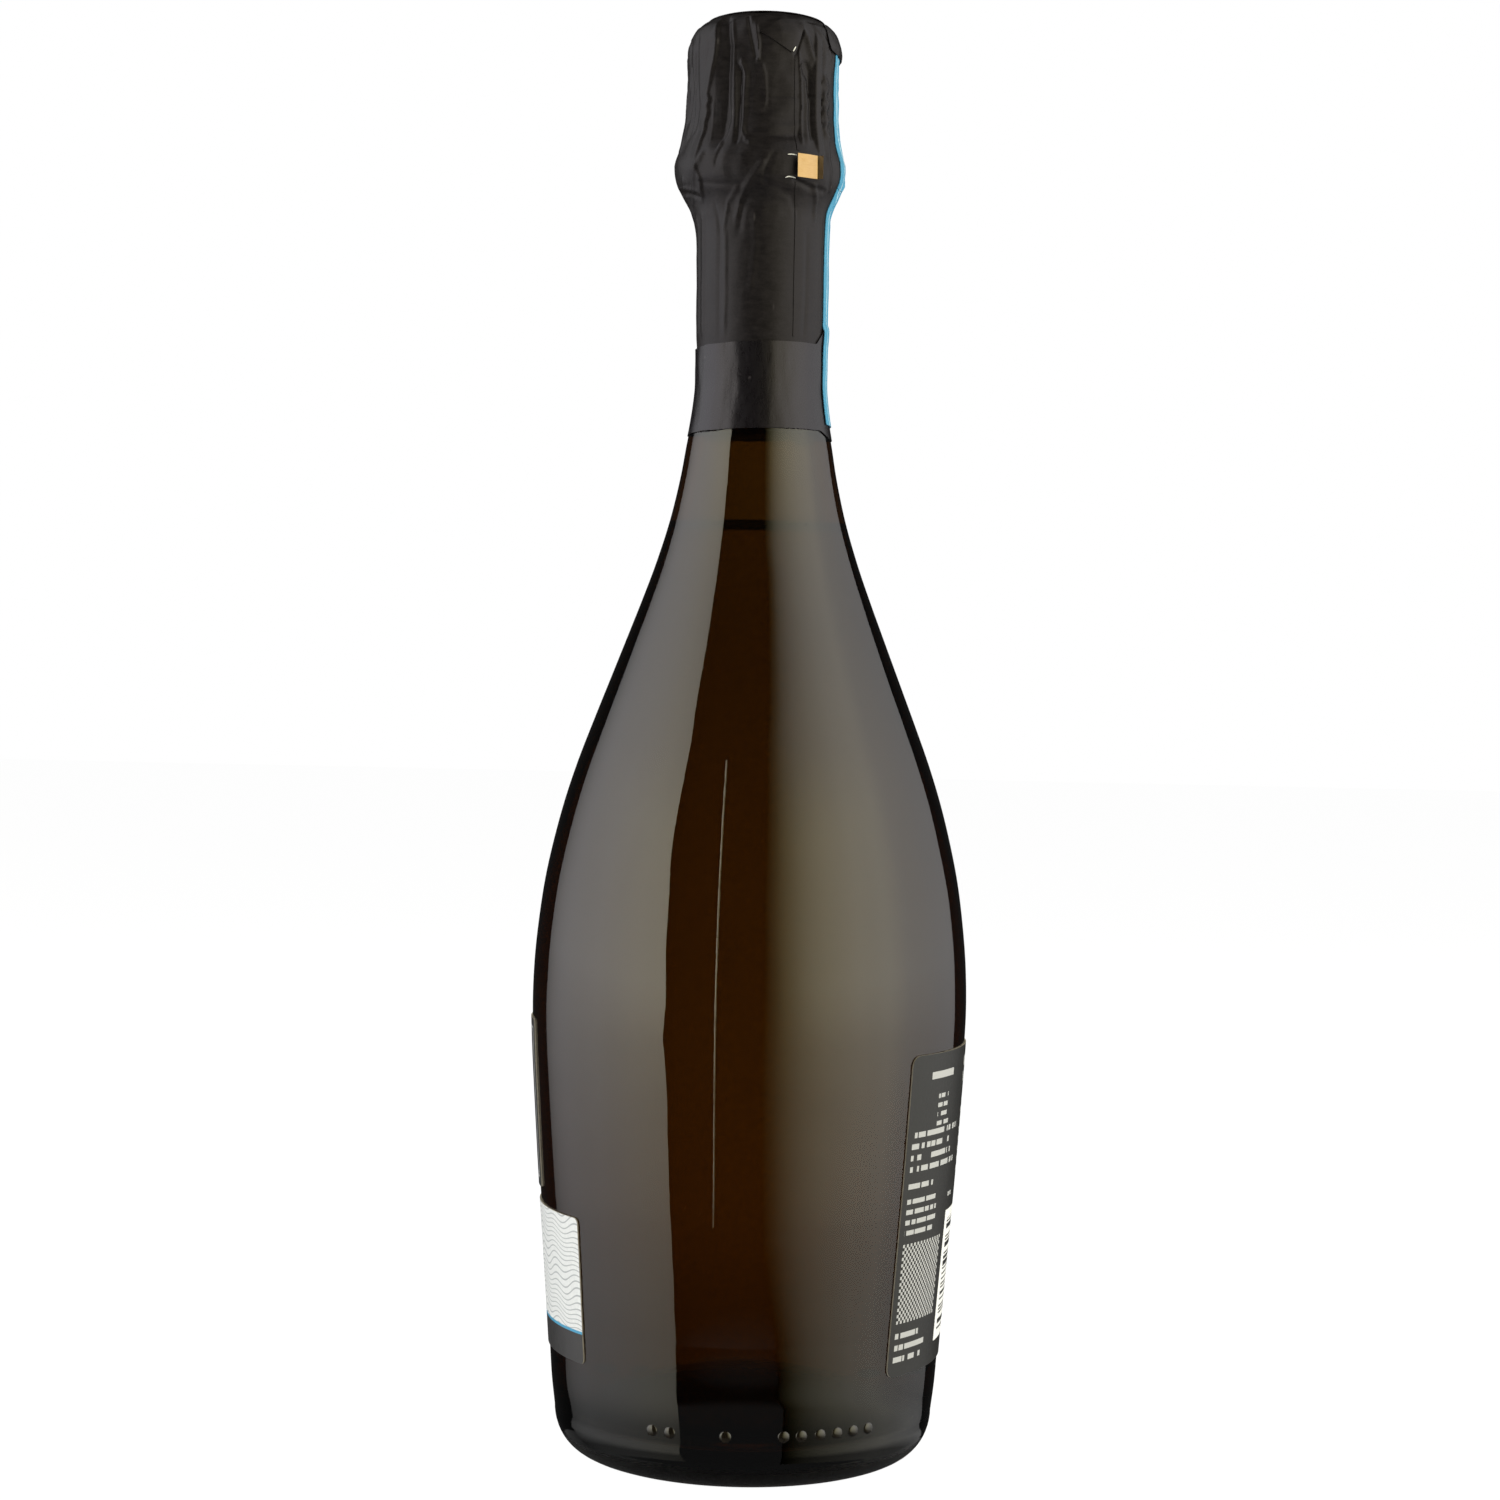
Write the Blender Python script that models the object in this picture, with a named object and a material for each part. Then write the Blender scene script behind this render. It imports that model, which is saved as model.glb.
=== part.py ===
"""Sealed sparkling wine bottle: glass, wine, cork, wire cage, foil capsule, paper labels and seal.

Metres, +Z up the bottle's axis, origin at the centre of the base. The front labels face -Y.
A bearing is the angle round the axis, counted from the front label towards +X.
"""
import math

import bmesh
import bpy
from mathutils import Vector

# Clearances, sheets and smoothness
GAP = 0.0003
FOIL_THICKNESS = 0.0004
PAPER_THICKNESS = 0.0003
SEGMENTS = 40
WINE_SEGMENTS = 24
ARC_STEPS = 3

# Glass body
BODY_RADIUS = 0.0465
WIDEST_HEIGHT = 0.095
HEEL_RADIUS = 0.0404
HEEL_HEIGHT = 0.0088
STANDING_RING_RADIUS = 0.0320
STANDING_RING_WIDTH = 0.0030
PUNT_DEPTH = 0.0158
WALL = 0.0041
FLOOR_THICKNESS = 0.0075
PUNT_THICKNESS = 0.0055
INNER_CORNER_HEIGHT = 0.0095
LOWER_BODY_SHARES = ((0.12, 0.07), (0.22, 0.17), (0.43, 0.37), (0.65, 0.57), (0.84, 0.77), (0.95, 0.9))
SHOULDER_SHARES = (
    (0.0, 0.0),
    (0.008, 0.07),
    (0.029, 0.13),
    (0.066, 0.2),
    (0.114, 0.26),
    (0.184, 0.33),
    (0.265, 0.395),
    (0.359, 0.46),
    (0.464, 0.53),
    (0.569, 0.6),
    (0.658, 0.66),
    (0.742, 0.72),
    (0.825, 0.79),
    (0.887, 0.86),
    (0.927, 0.92),
    (0.953, 0.95),
    (0.982, 0.975),
    (1.0, 1.0),
)
PUNT_SHARES = (1.0, 0.85, 0.68, 0.5, 0.3, 0.0)

# Glass neck and finish, with heights measured down from the lip
LIP_HEIGHT = 0.2875
NECK_BASE_HEIGHT = 0.2260
NECK_RADIUS = 0.01295
NECK_TOP_RADIUS = 0.0132
LIP_RADIUS = 0.0141
LIP_BAND = 0.0079
LIP_ROUNDING = 0.0008
WAIST_DROP = 0.0093
WAIST_RADIUS = 0.0136
STRING_RIM_DROP = 0.0118
STRING_RIM_WIDTH = 0.0037
STRING_RIM_RADIUS = 0.0156
STRING_RIM_UNDERCUT = 0.0016
BORE_RADIUS = 0.0089
BORE_LENGTH = 0.0300
CAVITY_NECK_RADIUS = 0.0095

# Wine
FILL_HEIGHT = 0.1979

# Cork
CORK_DEPTH = 0.0245
CORK_DISC_THICKNESS = 0.0060
CORK_HEAD_RADIUS = 0.0141
CORK_HEAD_HEIGHT = 0.0136
CORK_CROWN_RADIUS = 0.0108
CORK_CROWN_DROP = 0.0036
CORK_FLARE_HEIGHT = 0.0050

# Plaque under the cage
PLAQUE_THICKNESS = 0.0004
PLAQUE_RADIUS = 0.0135
PLAQUE_DOME_RADIUS = 0.0092
PLAQUE_DOME_RISE = 0.0012
PLAQUE_SKIRT_DROP = 0.0014
PLAQUE_SEAT = 0.0004
PLAQUE_SLOPE = 0.0007

# Wire cage
WIRE_RADIUS = 0.0005
CAGE_CLEARANCE = 0.0005
CAGE_RING_RADIUS = 0.0110
CAGE_RING_POINTS = 20
CAGE_BEND_RADIUS = 0.0025
CAGE_BEND_DROP = 0.0038
LEG_KINK_HEIGHT = 0.0060
LEG_SPREAD_SHARES = ((0.0, 0.0), (0.31, 0.415), (0.85, 0.785), (1.0, 1.0))
LEG_HOOK_SHARES = ((0.0, 0.0), (0.19, 0.43), (0.57, 0.865), (1.0, 1.0))
BELT_DROP = 0.0176
BELT_RADIUS = 0.0142
BELT_POINTS = 30
LOOP_BEARING = math.radians(10)
LOOP_STEM_HALF_ANGLE = math.radians(2.9)
LOOP_HALF_ANGLE = math.radians(19)
LOOP_LENGTH = 0.0115
LOOP_POINTS = 9
LEG_COUNT = 4

# Foil capsule
CAPSULE_HEADROOM = 0.0010
TOP_DISC_RADIUS = 0.0126
TOP_DISC_THICKNESS = 0.0003
CROWN_FLAT_RADIUS = 0.0129
CROWN_HOLE_RADIUS = 0.0095
CROWN_EDGE_RADIUS = 0.01645
CROWN_EDGE_DROP = 0.0060
CROWN_WAIST_RADIUS = 0.0163
CROWN_WAIST_HIGH = 0.0055
CROWN_WAIST_LOW = 0.0040
CROWN_FLARE_SHARES = ((0.0, 0.0), (0.22, 0.37), (0.78, 0.84), (1.0, 1.0))
TEAR_DROP = 0.0133
TEAR_WIDTH = 0.0052
TEAR_TOP_RADIUS = 0.01765
TEAR_MIDDLE_RADIUS = 0.0179
TEAR_LOW_RADIUS = 0.01745
TEAR_SHARES = (0.0, 0.23, 0.6, 1.0)
SKIRT_FOOT_HEIGHT = 0.2195
SKIRT_FLARE_HEIGHT = 0.0100
SKIRT_FLARE_SHARES = ((0.0, 0.0), (0.1, 0.25), (0.32, 0.47), (0.68, 0.74), (1.0, 1.0))

# Tear tab
TAB_BEARING = math.radians(132)
TAB_LENGTH = 0.0062
TAB_HEIGHT = 0.0051
TAB_THICKNESS = 0.0003

# Neck band, a strap that widens into a panel at the back
BAND_LOW = 0.2170
BAND_HIGH = 0.2354
BAND_SKEW = 0.0004
BAND_PANEL_DROP = 0.0014
BAND_PANEL_RISE = 0.0040
BAND_PANEL_BEARING = math.radians(202)
BAND_PANEL_HALF_ANGLE = math.radians(45)
BAND_CHAMFER_ANGLE = math.radians(15)
BAND_COLUMNS = 40
BAND_ROWS = 4

# Paper seal strip
SEAL_BEARING = math.radians(202)
SEAL_WIDTH = 0.0140
SEAL_LOW = 0.2189
SEAL_HIGH = 0.2984
SEAL_COLUMNS = 8

# Labels: bearing of the middle, half angle, foot, head and corner
UPPER_LABEL = (0, math.radians(24), 0.0563, 0.0920, 0.0012)
LOWER_LABEL = (0, math.radians(44), 0.0225, 0.0522, 0.0012)
BACK_LABEL = (math.radians(180), math.radians(31.5), 0.0215, 0.0880, 0.0022)
LABEL_COLUMN_ANGLE = math.radians(8)
LABEL_ROWS = 4
CORNER_SHARES = (0.0, 0.12, 0.4, 1.0)

# Colours
GLASS_COLOUR = (0.055, 0.035, 0.012, 1)
WINE_COLOUR = (0.75, 0.66, 0.35, 1)
FOIL_COLOUR = (0.018, 0.016, 0.017, 1)
BAND_COLOUR = (0.03, 0.028, 0.03, 1)
SEAL_COLOUR = (0.07, 0.32, 0.48, 1)
LABEL_BLACK = (0.02, 0.019, 0.02, 1)
LABEL_SILVER = (0.72, 0.73, 0.74, 1)
BACK_LABEL_GREY = (0.05, 0.048, 0.048, 1)
CORK_COLOUR = (0.5, 0.32, 0.17, 1)
CORK_DISC_COLOUR = (0.58, 0.38, 0.2, 1)
WIRE_COLOUR = (0.6, 0.6, 0.58, 1)
PLAQUE_COLOUR = (0.75, 0.74, 0.72, 1)
GOLD_COLOUR = (0.83, 0.6, 0.27, 1)


def material(name, colour, roughness, metallic=0.0):
    """A plain Principled material."""
    made = bpy.data.materials.new(name)
    made.use_nodes = True
    shader = made.node_tree.nodes["Principled BSDF"]
    shader.inputs["Base Color"].default_value = colour
    shader.inputs["Roughness"].default_value = roughness
    shader.inputs["Metallic"].default_value = metallic
    return made


def place(name, data, finish, parent=None):
    """Link a mesh or curve as a named object with its material."""
    made = bpy.data.objects.new(name, data)
    data.materials.append(finish)
    bpy.context.collection.objects.link(made)
    made.parent = parent
    return made


def group(name, parent=None):
    """An empty on the bottle's axis that carries the pieces of one moving group."""
    made = bpy.data.objects.new(name, None)
    bpy.context.collection.objects.link(made)
    made.parent = parent
    return made


def finished_mesh(name, solid):
    """Turn a bmesh into a smooth mesh with its faces out."""
    bmesh.ops.recalc_face_normals(solid, faces=solid.faces)
    mesh = bpy.data.meshes.new(name)
    solid.to_mesh(mesh)
    solid.free()
    mesh.shade_smooth()
    mesh.set_sharp_from_angle(angle=math.radians(35))
    return mesh


def towards(bearing, radius, height):
    """The point at a bearing, a radius and a height."""
    return Vector((radius * math.sin(bearing), -radius * math.cos(bearing), height))


def spread(start, end, shares):
    """Outline points between two corners, one for each pair of radius and height shares."""
    return [
        (start[0] + (end[0] - start[0]) * across, start[1] + (end[1] - start[1]) * up)
        for across, up in shares
    ]


def arc(middle, width, height, steps=ARC_STEPS):
    """A quarter ellipse round its middle, from straight up to straight out."""
    turns = [math.pi / 2 * step / steps for step in range(steps + 1)]
    return [(middle[0] + width * math.sin(turn), middle[1] + height * math.cos(turn)) for turn in turns]


def offset(outline, distance):
    """The outline moved sideways, to its left as it runs."""
    moved = []
    for index, point in enumerate(outline):
        before = Vector(outline[max(index - 1, 0)])
        after = Vector(outline[min(index + 1, len(outline) - 1)])
        here = Vector(point)
        ways = [way.normalized() for way in (here - before, after - here) if way.length > 0]
        along = sum(ways, Vector((0, 0))).normalized()
        stretch = distance / max(along.dot(ways[0]), math.cos(math.pi / 3))
        moved.append((here.x - along.y * stretch, here.y + along.x * stretch))
    return moved


def radius_at(outline, height):
    """The outline's radius at a height, for an outline that only rises or only falls."""
    rising = sorted(outline, key=lambda point: point[1])
    for low, high in zip(rising, rising[1:]):
        if low[1] <= height <= high[1] and high[1] > low[1]:
            share = (height - low[1]) / (high[1] - low[1])
            return low[0] + (high[0] - low[0]) * share
    return rising[0][0] if height < rising[0][1] else rising[-1][0]


def between(outline, low, high):
    """The part of an outline between two heights, with its cut ends, from low to high."""
    inside = sorted((point for point in outline if low < point[1] < high), key=lambda point: point[1])
    return [(radius_at(outline, low), low), *inside, (radius_at(outline, high), high)]


def turned(name, outline, finish, parent=None, segments=SEGMENTS):
    """A solid turned round the axis from a closed outline, or from one that starts and ends on the axis."""
    solid = bmesh.new()
    points = [solid.verts.new((radius, 0, height)) for radius, height in outline]
    on_axis = outline[0][0] == 0 and outline[-1][0] == 0
    ends = points[1:] if on_axis else points[1:] + points[:1]
    edges = [solid.edges.new(pair) for pair in zip(points, ends)]
    turn = {"axis": (0, 0, 1), "cent": (0, 0, 0), "angle": math.tau, "steps": segments, "use_merge": True}
    bmesh.ops.spin(solid, geom=points + edges, **turn)
    bmesh.ops.remove_doubles(solid, verts=solid.verts, dist=GAP / SEGMENTS)
    return place(name, finished_mesh(name, solid), finish, parent)


def sleeve(name, outer, thickness, finish, parent=None):
    """A turned sheet: an outer outline that runs up, and the same outline set in by its thickness."""
    inner = offset(outer, thickness)
    return turned(name, outer + inner[::-1], finish, parent)


def sheet(name, carrier, columns, span, gap, thickness, finish, parent=None):
    """A thin sheet bent round the axis, a gap away from the outline that carries it.

    span gives the heights of one column from its bearing.
    """
    solid = bmesh.new()
    faces = []
    for depth in (gap, gap + thickness):
        grid = []
        for bearing in columns:
            heights = span(bearing)
            grid.append([towards(bearing, radius_at(carrier, up) + depth, up) for up in heights])
        faces.append([[solid.verts.new(point) for point in column] for column in grid])
    inner, outer = faces
    closed = len(columns) > 2 and abs(columns[-1] - columns[0] - math.tau) < LABEL_COLUMN_ANGLE / 2
    pairs = list(zip(range(len(columns)), range(1, len(columns))))
    rows = range(len(inner[0]) - 1)
    for here, there in pairs:
        out, out_next = outer[here], outer[there]
        back, back_next = inner[here], inner[there]
        for row in rows:
            solid.faces.new((out[row], out_next[row], out_next[row + 1], out[row + 1]))
            solid.faces.new((back[row], back[row + 1], back_next[row + 1], back_next[row]))
        solid.faces.new((back[0], back_next[0], out_next[0], out[0]))
        solid.faces.new((out[-1], out_next[-1], back_next[-1], back[-1]))
    if closed:
        bmesh.ops.remove_doubles(solid, verts=solid.verts, dist=GAP / SEGMENTS)
    else:
        for edge in (0, -1):
            out, back = outer[edge], inner[edge]
            for row in rows:
                solid.faces.new((back[row], out[row], out[row + 1], back[row + 1]))
    return place(name, finished_mesh(name, solid), finish, parent)


def wire(name, points, finish, parent, cyclic=False):
    """A round wire along a list of points."""
    curve = bpy.data.curves.new(name, "CURVE")
    curve.dimensions = "3D"
    curve.bevel_depth = WIRE_RADIUS
    curve.bevel_resolution = 1
    curve.use_fill_caps = True
    spline = curve.splines.new("POLY")
    spline.points.add(len(points) - 1)
    for spot, point in zip(spline.points, points):
        spot.co = (*point, 1)
    spline.use_cyclic_u = cyclic
    return place(name, curve, finish, parent)


def glass_outside():
    """The outer outline, from the standing ring up to the lip's outer edge."""
    ring_out = STANDING_RING_RADIUS + STANDING_RING_WIDTH / 2
    quarter = arc((ring_out, 0), HEEL_RADIUS - ring_out, HEEL_HEIGHT)
    heel = [(radius, HEEL_HEIGHT - height) for radius, height in quarter]
    heel_top = (HEEL_RADIUS, HEEL_HEIGHT)
    widest = (BODY_RADIUS, WIDEST_HEIGHT)
    neck_base = (NECK_RADIUS, NECK_BASE_HEIGHT)
    return [
        *heel,
        *spread(heel_top, widest, LOWER_BODY_SHARES),
        *spread(widest, neck_base, SHOULDER_SHARES),
        *glass_finish(),
    ]


def glass_finish():
    """The neck's top, the string rim and the lip."""
    rim_top = LIP_HEIGHT - STRING_RIM_DROP
    rim_foot = rim_top - STRING_RIM_WIDTH
    return [
        (NECK_TOP_RADIUS, rim_foot - STRING_RIM_UNDERCUT),
        (STRING_RIM_RADIUS, rim_foot),
        (STRING_RIM_RADIUS, rim_top),
        (WAIST_RADIUS, LIP_HEIGHT - WAIST_DROP),
        (LIP_RADIUS, LIP_HEIGHT - LIP_BAND),
        (LIP_RADIUS, LIP_HEIGHT - LIP_ROUNDING),
        (LIP_RADIUS - LIP_ROUNDING, LIP_HEIGHT),
    ]


def dome(radius, foot, rise):
    """A rounded dome's outline, from its foot to its top on the axis."""
    return [(radius * share, foot + rise * (1 - share * share)) for share in PUNT_SHARES]


def cavity():
    """The inside of the glass, from the middle of the floor up to the mouth."""
    ring_in = STANDING_RING_RADIUS - STANDING_RING_WIDTH / 2
    wall_foot = HEEL_RADIUS - WALL
    corner_top = FLOOR_THICKNESS + INNER_CORNER_HEIGHT
    corner = arc((ring_in, corner_top), wall_foot - ring_in, -INNER_CORNER_HEIGHT)
    widest = (BODY_RADIUS - WALL, WIDEST_HEIGHT)
    neck_base = (CAVITY_NECK_RADIUS, NECK_BASE_HEIGHT)
    rise = PUNT_DEPTH + PUNT_THICKNESS - FLOOR_THICKNESS
    return [
        *dome(ring_in, FLOOR_THICKNESS, rise)[:0:-1],
        *corner,
        *spread((wall_foot, corner_top), widest, LOWER_BODY_SHARES),
        *spread(widest, neck_base, SHOULDER_SHARES),
        (BORE_RADIUS, LIP_HEIGHT - BORE_LENGTH),
        (BORE_RADIUS, LIP_HEIGHT - LIP_ROUNDING),
        (BORE_RADIUS + LIP_ROUNDING, LIP_HEIGHT),
    ]


def make_glass(finish):
    """The bottle itself, with its punt, string rim and lip."""
    ring_in = STANDING_RING_RADIUS - STANDING_RING_WIDTH / 2
    punt = dome(ring_in, 0, PUNT_DEPTH)[::-1]
    turned("glass_bottle", [*punt, *glass_outside(), *cavity()[::-1]], finish)


def make_wine(finish):
    """The wine, up to its level in the shoulder."""
    inside = [point for point in offset(cavity(), GAP) if point[1] < LIP_HEIGHT - BORE_LENGTH]
    below = [point for point in inside if point[1] < FILL_HEIGHT]
    above = next(point for point in inside if point[1] >= FILL_HEIGHT)
    last = below[-1]
    share = (FILL_HEIGHT - last[1]) / (above[1] - last[1])
    edge = last[0] + (above[0] - last[0]) * share
    outline = [(0, below[0][1]), *below[1:], (edge, FILL_HEIGHT), (0, FILL_HEIGHT)]
    turned("wine", outline, finish, segments=WINE_SEGMENTS)


def label_columns(middle, half_angle, corner):
    """Bearings across a label, closer together in its round corners."""
    corner_angle = corner / BODY_RADIUS
    count = math.ceil((half_angle - corner_angle) * 2 / LABEL_COLUMN_ANGLE)
    flat = half_angle - corner_angle
    plain = [middle - flat + 2 * flat * step / count for step in range(1, count)]
    left = [middle - half_angle + corner_angle * share for share in CORNER_SHARES]
    right = [middle + half_angle - corner_angle * share for share in reversed(CORNER_SHARES)]
    return [*left, *plain, *right]


def make_label(name, middle, half_angle, foot, head, corner, finish):
    """A paper label with round corners on the glass."""

    def span(bearing):
        inset = corner - min(corner, (half_angle - abs(bearing - middle)) * BODY_RADIUS)
        drop = corner - math.sqrt(max(corner * corner - inset * inset, 0))
        low, high = foot + drop, head - drop
        return [low + (high - low) * row / LABEL_ROWS for row in range(LABEL_ROWS + 1)]

    columns = label_columns(middle, half_angle, corner)
    sheet(name, glass_outside(), columns, span, GAP, PAPER_THICKNESS, finish)


def make_cork(agglomerate, natural, parent):
    """The cork: a pressed granule body with its mushroom head, and two whole cork discs below."""
    radius = BORE_RADIUS - GAP
    foot = LIP_HEIGHT - CORK_DEPTH
    upper_foot = foot + CORK_DISC_THICKNESS
    body_foot = upper_foot + CORK_DISC_THICKNESS
    seat = LIP_HEIGHT + GAP
    head = LIP_HEIGHT + CORK_HEAD_HEIGHT
    edge = (CORK_CROWN_RADIUS, head - CORK_CROWN_DROP)
    outline = [
        (0, body_foot),
        (radius, body_foot),
        (radius, seat),
        (LIP_RADIUS - LIP_ROUNDING, seat),
        (CORK_HEAD_RADIUS, seat + CORK_FLARE_HEIGHT),
        *arc(edge, CORK_HEAD_RADIUS - CORK_CROWN_RADIUS, CORK_CROWN_DROP)[::-1],
        (0, head),
    ]
    turned("cork_body", outline, agglomerate, parent)
    for name, low in (("cork_disc_upper", upper_foot), ("cork_disc_lower", foot)):
        top = low + CORK_DISC_THICKNESS - GAP
        turned(name, [(0, low), (radius, low), (radius, top), (0, top)], natural, parent)


def plaque_groove():
    """The height of the plaque's top face, where the cage ring lies."""
    return LIP_HEIGHT + CORK_HEAD_HEIGHT + PLAQUE_SEAT + PLAQUE_THICKNESS


def make_plaque(finish, parent):
    """The pressed metal cap between cork and wire, with a raised middle and a skirt turned down."""
    groove = plaque_groove()
    top = groove + PLAQUE_DOME_RISE
    top_face = [
        (PLAQUE_RADIUS, groove - PLAQUE_SKIRT_DROP),
        (PLAQUE_RADIUS - PLAQUE_SLOPE / 2, groove - PLAQUE_SLOPE),
        (PLAQUE_RADIUS - PLAQUE_SLOPE * 2, groove),
        (PLAQUE_DOME_RADIUS, groove),
        (PLAQUE_DOME_RADIUS - PLAQUE_SLOPE, top),
        (0, top),
    ]
    under = offset(top_face, PLAQUE_THICKNESS)
    turned("plaque", [(0, top - PLAQUE_THICKNESS), *under[-2::-1], *top_face], finish, parent)


def leg_route():
    """Radius and height along a cage leg, from the ring over the head and the rim to its hook."""
    clear = WIRE_RADIUS + GAP
    high = plaque_groove() + clear
    beside = LIP_RADIUS + WIRE_RADIUS + CAGE_CLEARANCE
    over_rim = STRING_RIM_RADIUS + clear
    kink = LIP_HEIGHT - LEG_KINK_HEIGHT
    rim_top = LIP_HEIGHT - STRING_RIM_DROP
    rim_foot = rim_top - STRING_RIM_WIDTH
    belt = LIP_HEIGHT - BELT_DROP
    hook = (BELT_RADIUS, belt - 2 * WIRE_RADIUS - GAP)
    return [
        (CAGE_RING_RADIUS + clear, high),
        *arc((beside - CAGE_BEND_RADIUS, high - CAGE_BEND_DROP), CAGE_BEND_RADIUS, CAGE_BEND_DROP),
        *spread((beside, kink), (over_rim, rim_top - GAP), LEG_SPREAD_SHARES),
        *spread((over_rim, rim_foot), hook, LEG_HOOK_SHARES),
    ]


def make_cage_legs(finish, parent):
    """Four legs, hooked under the belt between the loop and its far side."""
    for number in range(LEG_COUNT):
        bearing = LOOP_BEARING + math.tau * (number + 0.5) / LEG_COUNT
        points = [towards(bearing, radius, height) for radius, height in leg_route()]
        wire(f"cage_leg_{number + 1}", points, finish, parent)


def make_cage_ring(finish, parent):
    """The ring of wire on the plaque, which holds the legs together."""
    height = plaque_groove() + WIRE_RADIUS + GAP
    turns = [math.tau * step / CAGE_RING_POINTS for step in range(CAGE_RING_POINTS)]
    points = [towards(turn, CAGE_RING_RADIUS, height) for turn in turns]
    wire("cage_ring", points, finish, parent, cyclic=True)


def loop_route(side):
    """One half of the loop: out from the belt, over the rim, and round the oval to its top."""
    route = leg_route()
    kink = LIP_HEIGHT - LEG_KINK_HEIGHT
    up = [(across, height) for across, height in route[::-1] if height < kink and across > BELT_RADIUS]
    stem = LOOP_BEARING + side * LOOP_STEM_HALF_ANGLE
    radius, foot = route[len(route) - len(LEG_HOOK_SHARES) - len(LEG_SPREAD_SHARES)]
    points = [towards(stem, BELT_RADIUS, LIP_HEIGHT - BELT_DROP)]
    points += [towards(stem, across, height) for across, height in up[1:]]
    for step in range(LOOP_POINTS):
        turn = math.pi * step / (LOOP_POINTS - 1)
        spare = LOOP_HALF_ANGLE * math.sin(turn)
        share = LOOP_STEM_HALF_ANGLE * (1 - step / (LOOP_POINTS - 1))
        height = foot + LOOP_LENGTH * (1 - math.cos(turn)) / 2
        points.append(towards(LOOP_BEARING + side * max(spare, share), radius, height))
    return points


def make_cage_belt(finish, parent):
    """The belt under the string rim and its loop, one closed length of wire."""
    height = LIP_HEIGHT - BELT_DROP
    first = LOOP_BEARING + LOOP_STEM_HALF_ANGLE
    reach = math.tau - 2 * LOOP_STEM_HALF_ANGLE
    turns = [first + reach * step / BELT_POINTS for step in range(1, BELT_POINTS)]
    belt = [towards(turn, BELT_RADIUS, height) for turn in turns]
    right = loop_route(1)
    left = loop_route(-1)
    wire("cage_belt", belt + left + right[-2::-1], finish, parent, cyclic=True)


def tear_outline():
    """The tear strip's outer face, upwards."""
    high = LIP_HEIGHT - TEAR_DROP
    heights = [high - TEAR_WIDTH * share for share in TEAR_SHARES]
    radii = (TEAR_TOP_RADIUS, TEAR_MIDDLE_RADIUS, (TEAR_MIDDLE_RADIUS + TEAR_LOW_RADIUS) / 2, TEAR_LOW_RADIUS)
    return list(zip(radii, heights))[::-1]


def crown_top():
    """The height of the crown's flat top, over the cage ring and a little headroom."""
    return plaque_groove() + GAP + 2 * WIRE_RADIUS + CAPSULE_HEADROOM + FOIL_THICKNESS


def crown_outline():
    """The foil crown's outer face, upwards from the tear line and over its edge."""
    flat = crown_top()
    edge = flat - CROWN_EDGE_DROP
    foot = (TEAR_TOP_RADIUS, LIP_HEIGHT - TEAR_DROP + GAP)
    waist = (CROWN_WAIST_RADIUS, LIP_HEIGHT - CROWN_WAIST_LOW)
    rounding = arc((CROWN_FLAT_RADIUS, edge), CROWN_EDGE_RADIUS - CROWN_FLAT_RADIUS, CROWN_EDGE_DROP)
    return [
        *spread(waist, foot, CROWN_FLARE_SHARES)[::-1],
        (CROWN_WAIST_RADIUS, LIP_HEIGHT + CROWN_WAIST_HIGH),
        *rounding[::-1],
        (CROWN_HOLE_RADIUS, flat),
    ]


def skirt_outline():
    """The foil skirt's outer face, from its foot on the neck up to the tear line."""
    high = LIP_HEIGHT - TEAR_DROP - TEAR_WIDTH - GAP
    low = high - SKIRT_FLARE_HEIGHT
    cover = GAP + FOIL_THICKNESS
    neck = between(glass_outside(), SKIRT_FOOT_HEIGHT, low)
    on_neck = [(radius + cover, height) for radius, height in neck]
    return on_neck + spread(on_neck[-1], (TEAR_LOW_RADIUS, high), SKIRT_FLARE_SHARES[1:])


def make_capsule(finish, parent):
    """The foil capsule: the crown that lifts off, its top disc, the tear strip and the fixed skirt."""
    sleeve("capsule_skirt", skirt_outline(), FOIL_THICKNESS, finish)
    sleeve("tear_strip", tear_outline(), FOIL_THICKNESS, finish, parent)
    sleeve("capsule_crown", crown_outline(), FOIL_THICKNESS, finish, parent)
    low = crown_top() + GAP
    high = low + TOP_DISC_THICKNESS
    disc = [(0, low), (TOP_DISC_RADIUS, low), (TOP_DISC_RADIUS, high), (0, high)]
    turned("capsule_top_disc", disc, finish, parent)


def make_tab(finish, parent):
    """The pull tab on the tear strip. It turns outwards about its left edge, where its origin lies."""
    solid = bmesh.new()
    bmesh.ops.create_cube(solid, size=1)
    for corner in solid.verts:
        corner.co.x = (corner.co.x + 0.5) * TAB_LENGTH
        corner.co.y *= TAB_THICKNESS
        corner.co.z *= TAB_HEIGHT
    tab = place("tear_tab", finished_mesh("tear_tab", solid), finish, parent)
    out = TEAR_MIDDLE_RADIUS + GAP + TAB_THICKNESS / 2
    middle = towards(TAB_BEARING, out, LIP_HEIGHT - TEAR_DROP - TEAR_WIDTH / 2)
    along = Vector((math.cos(TAB_BEARING), math.sin(TAB_BEARING), 0))
    tab.location = middle - along * TAB_LENGTH / 2
    tab.rotation_euler.z = TAB_BEARING


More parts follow.
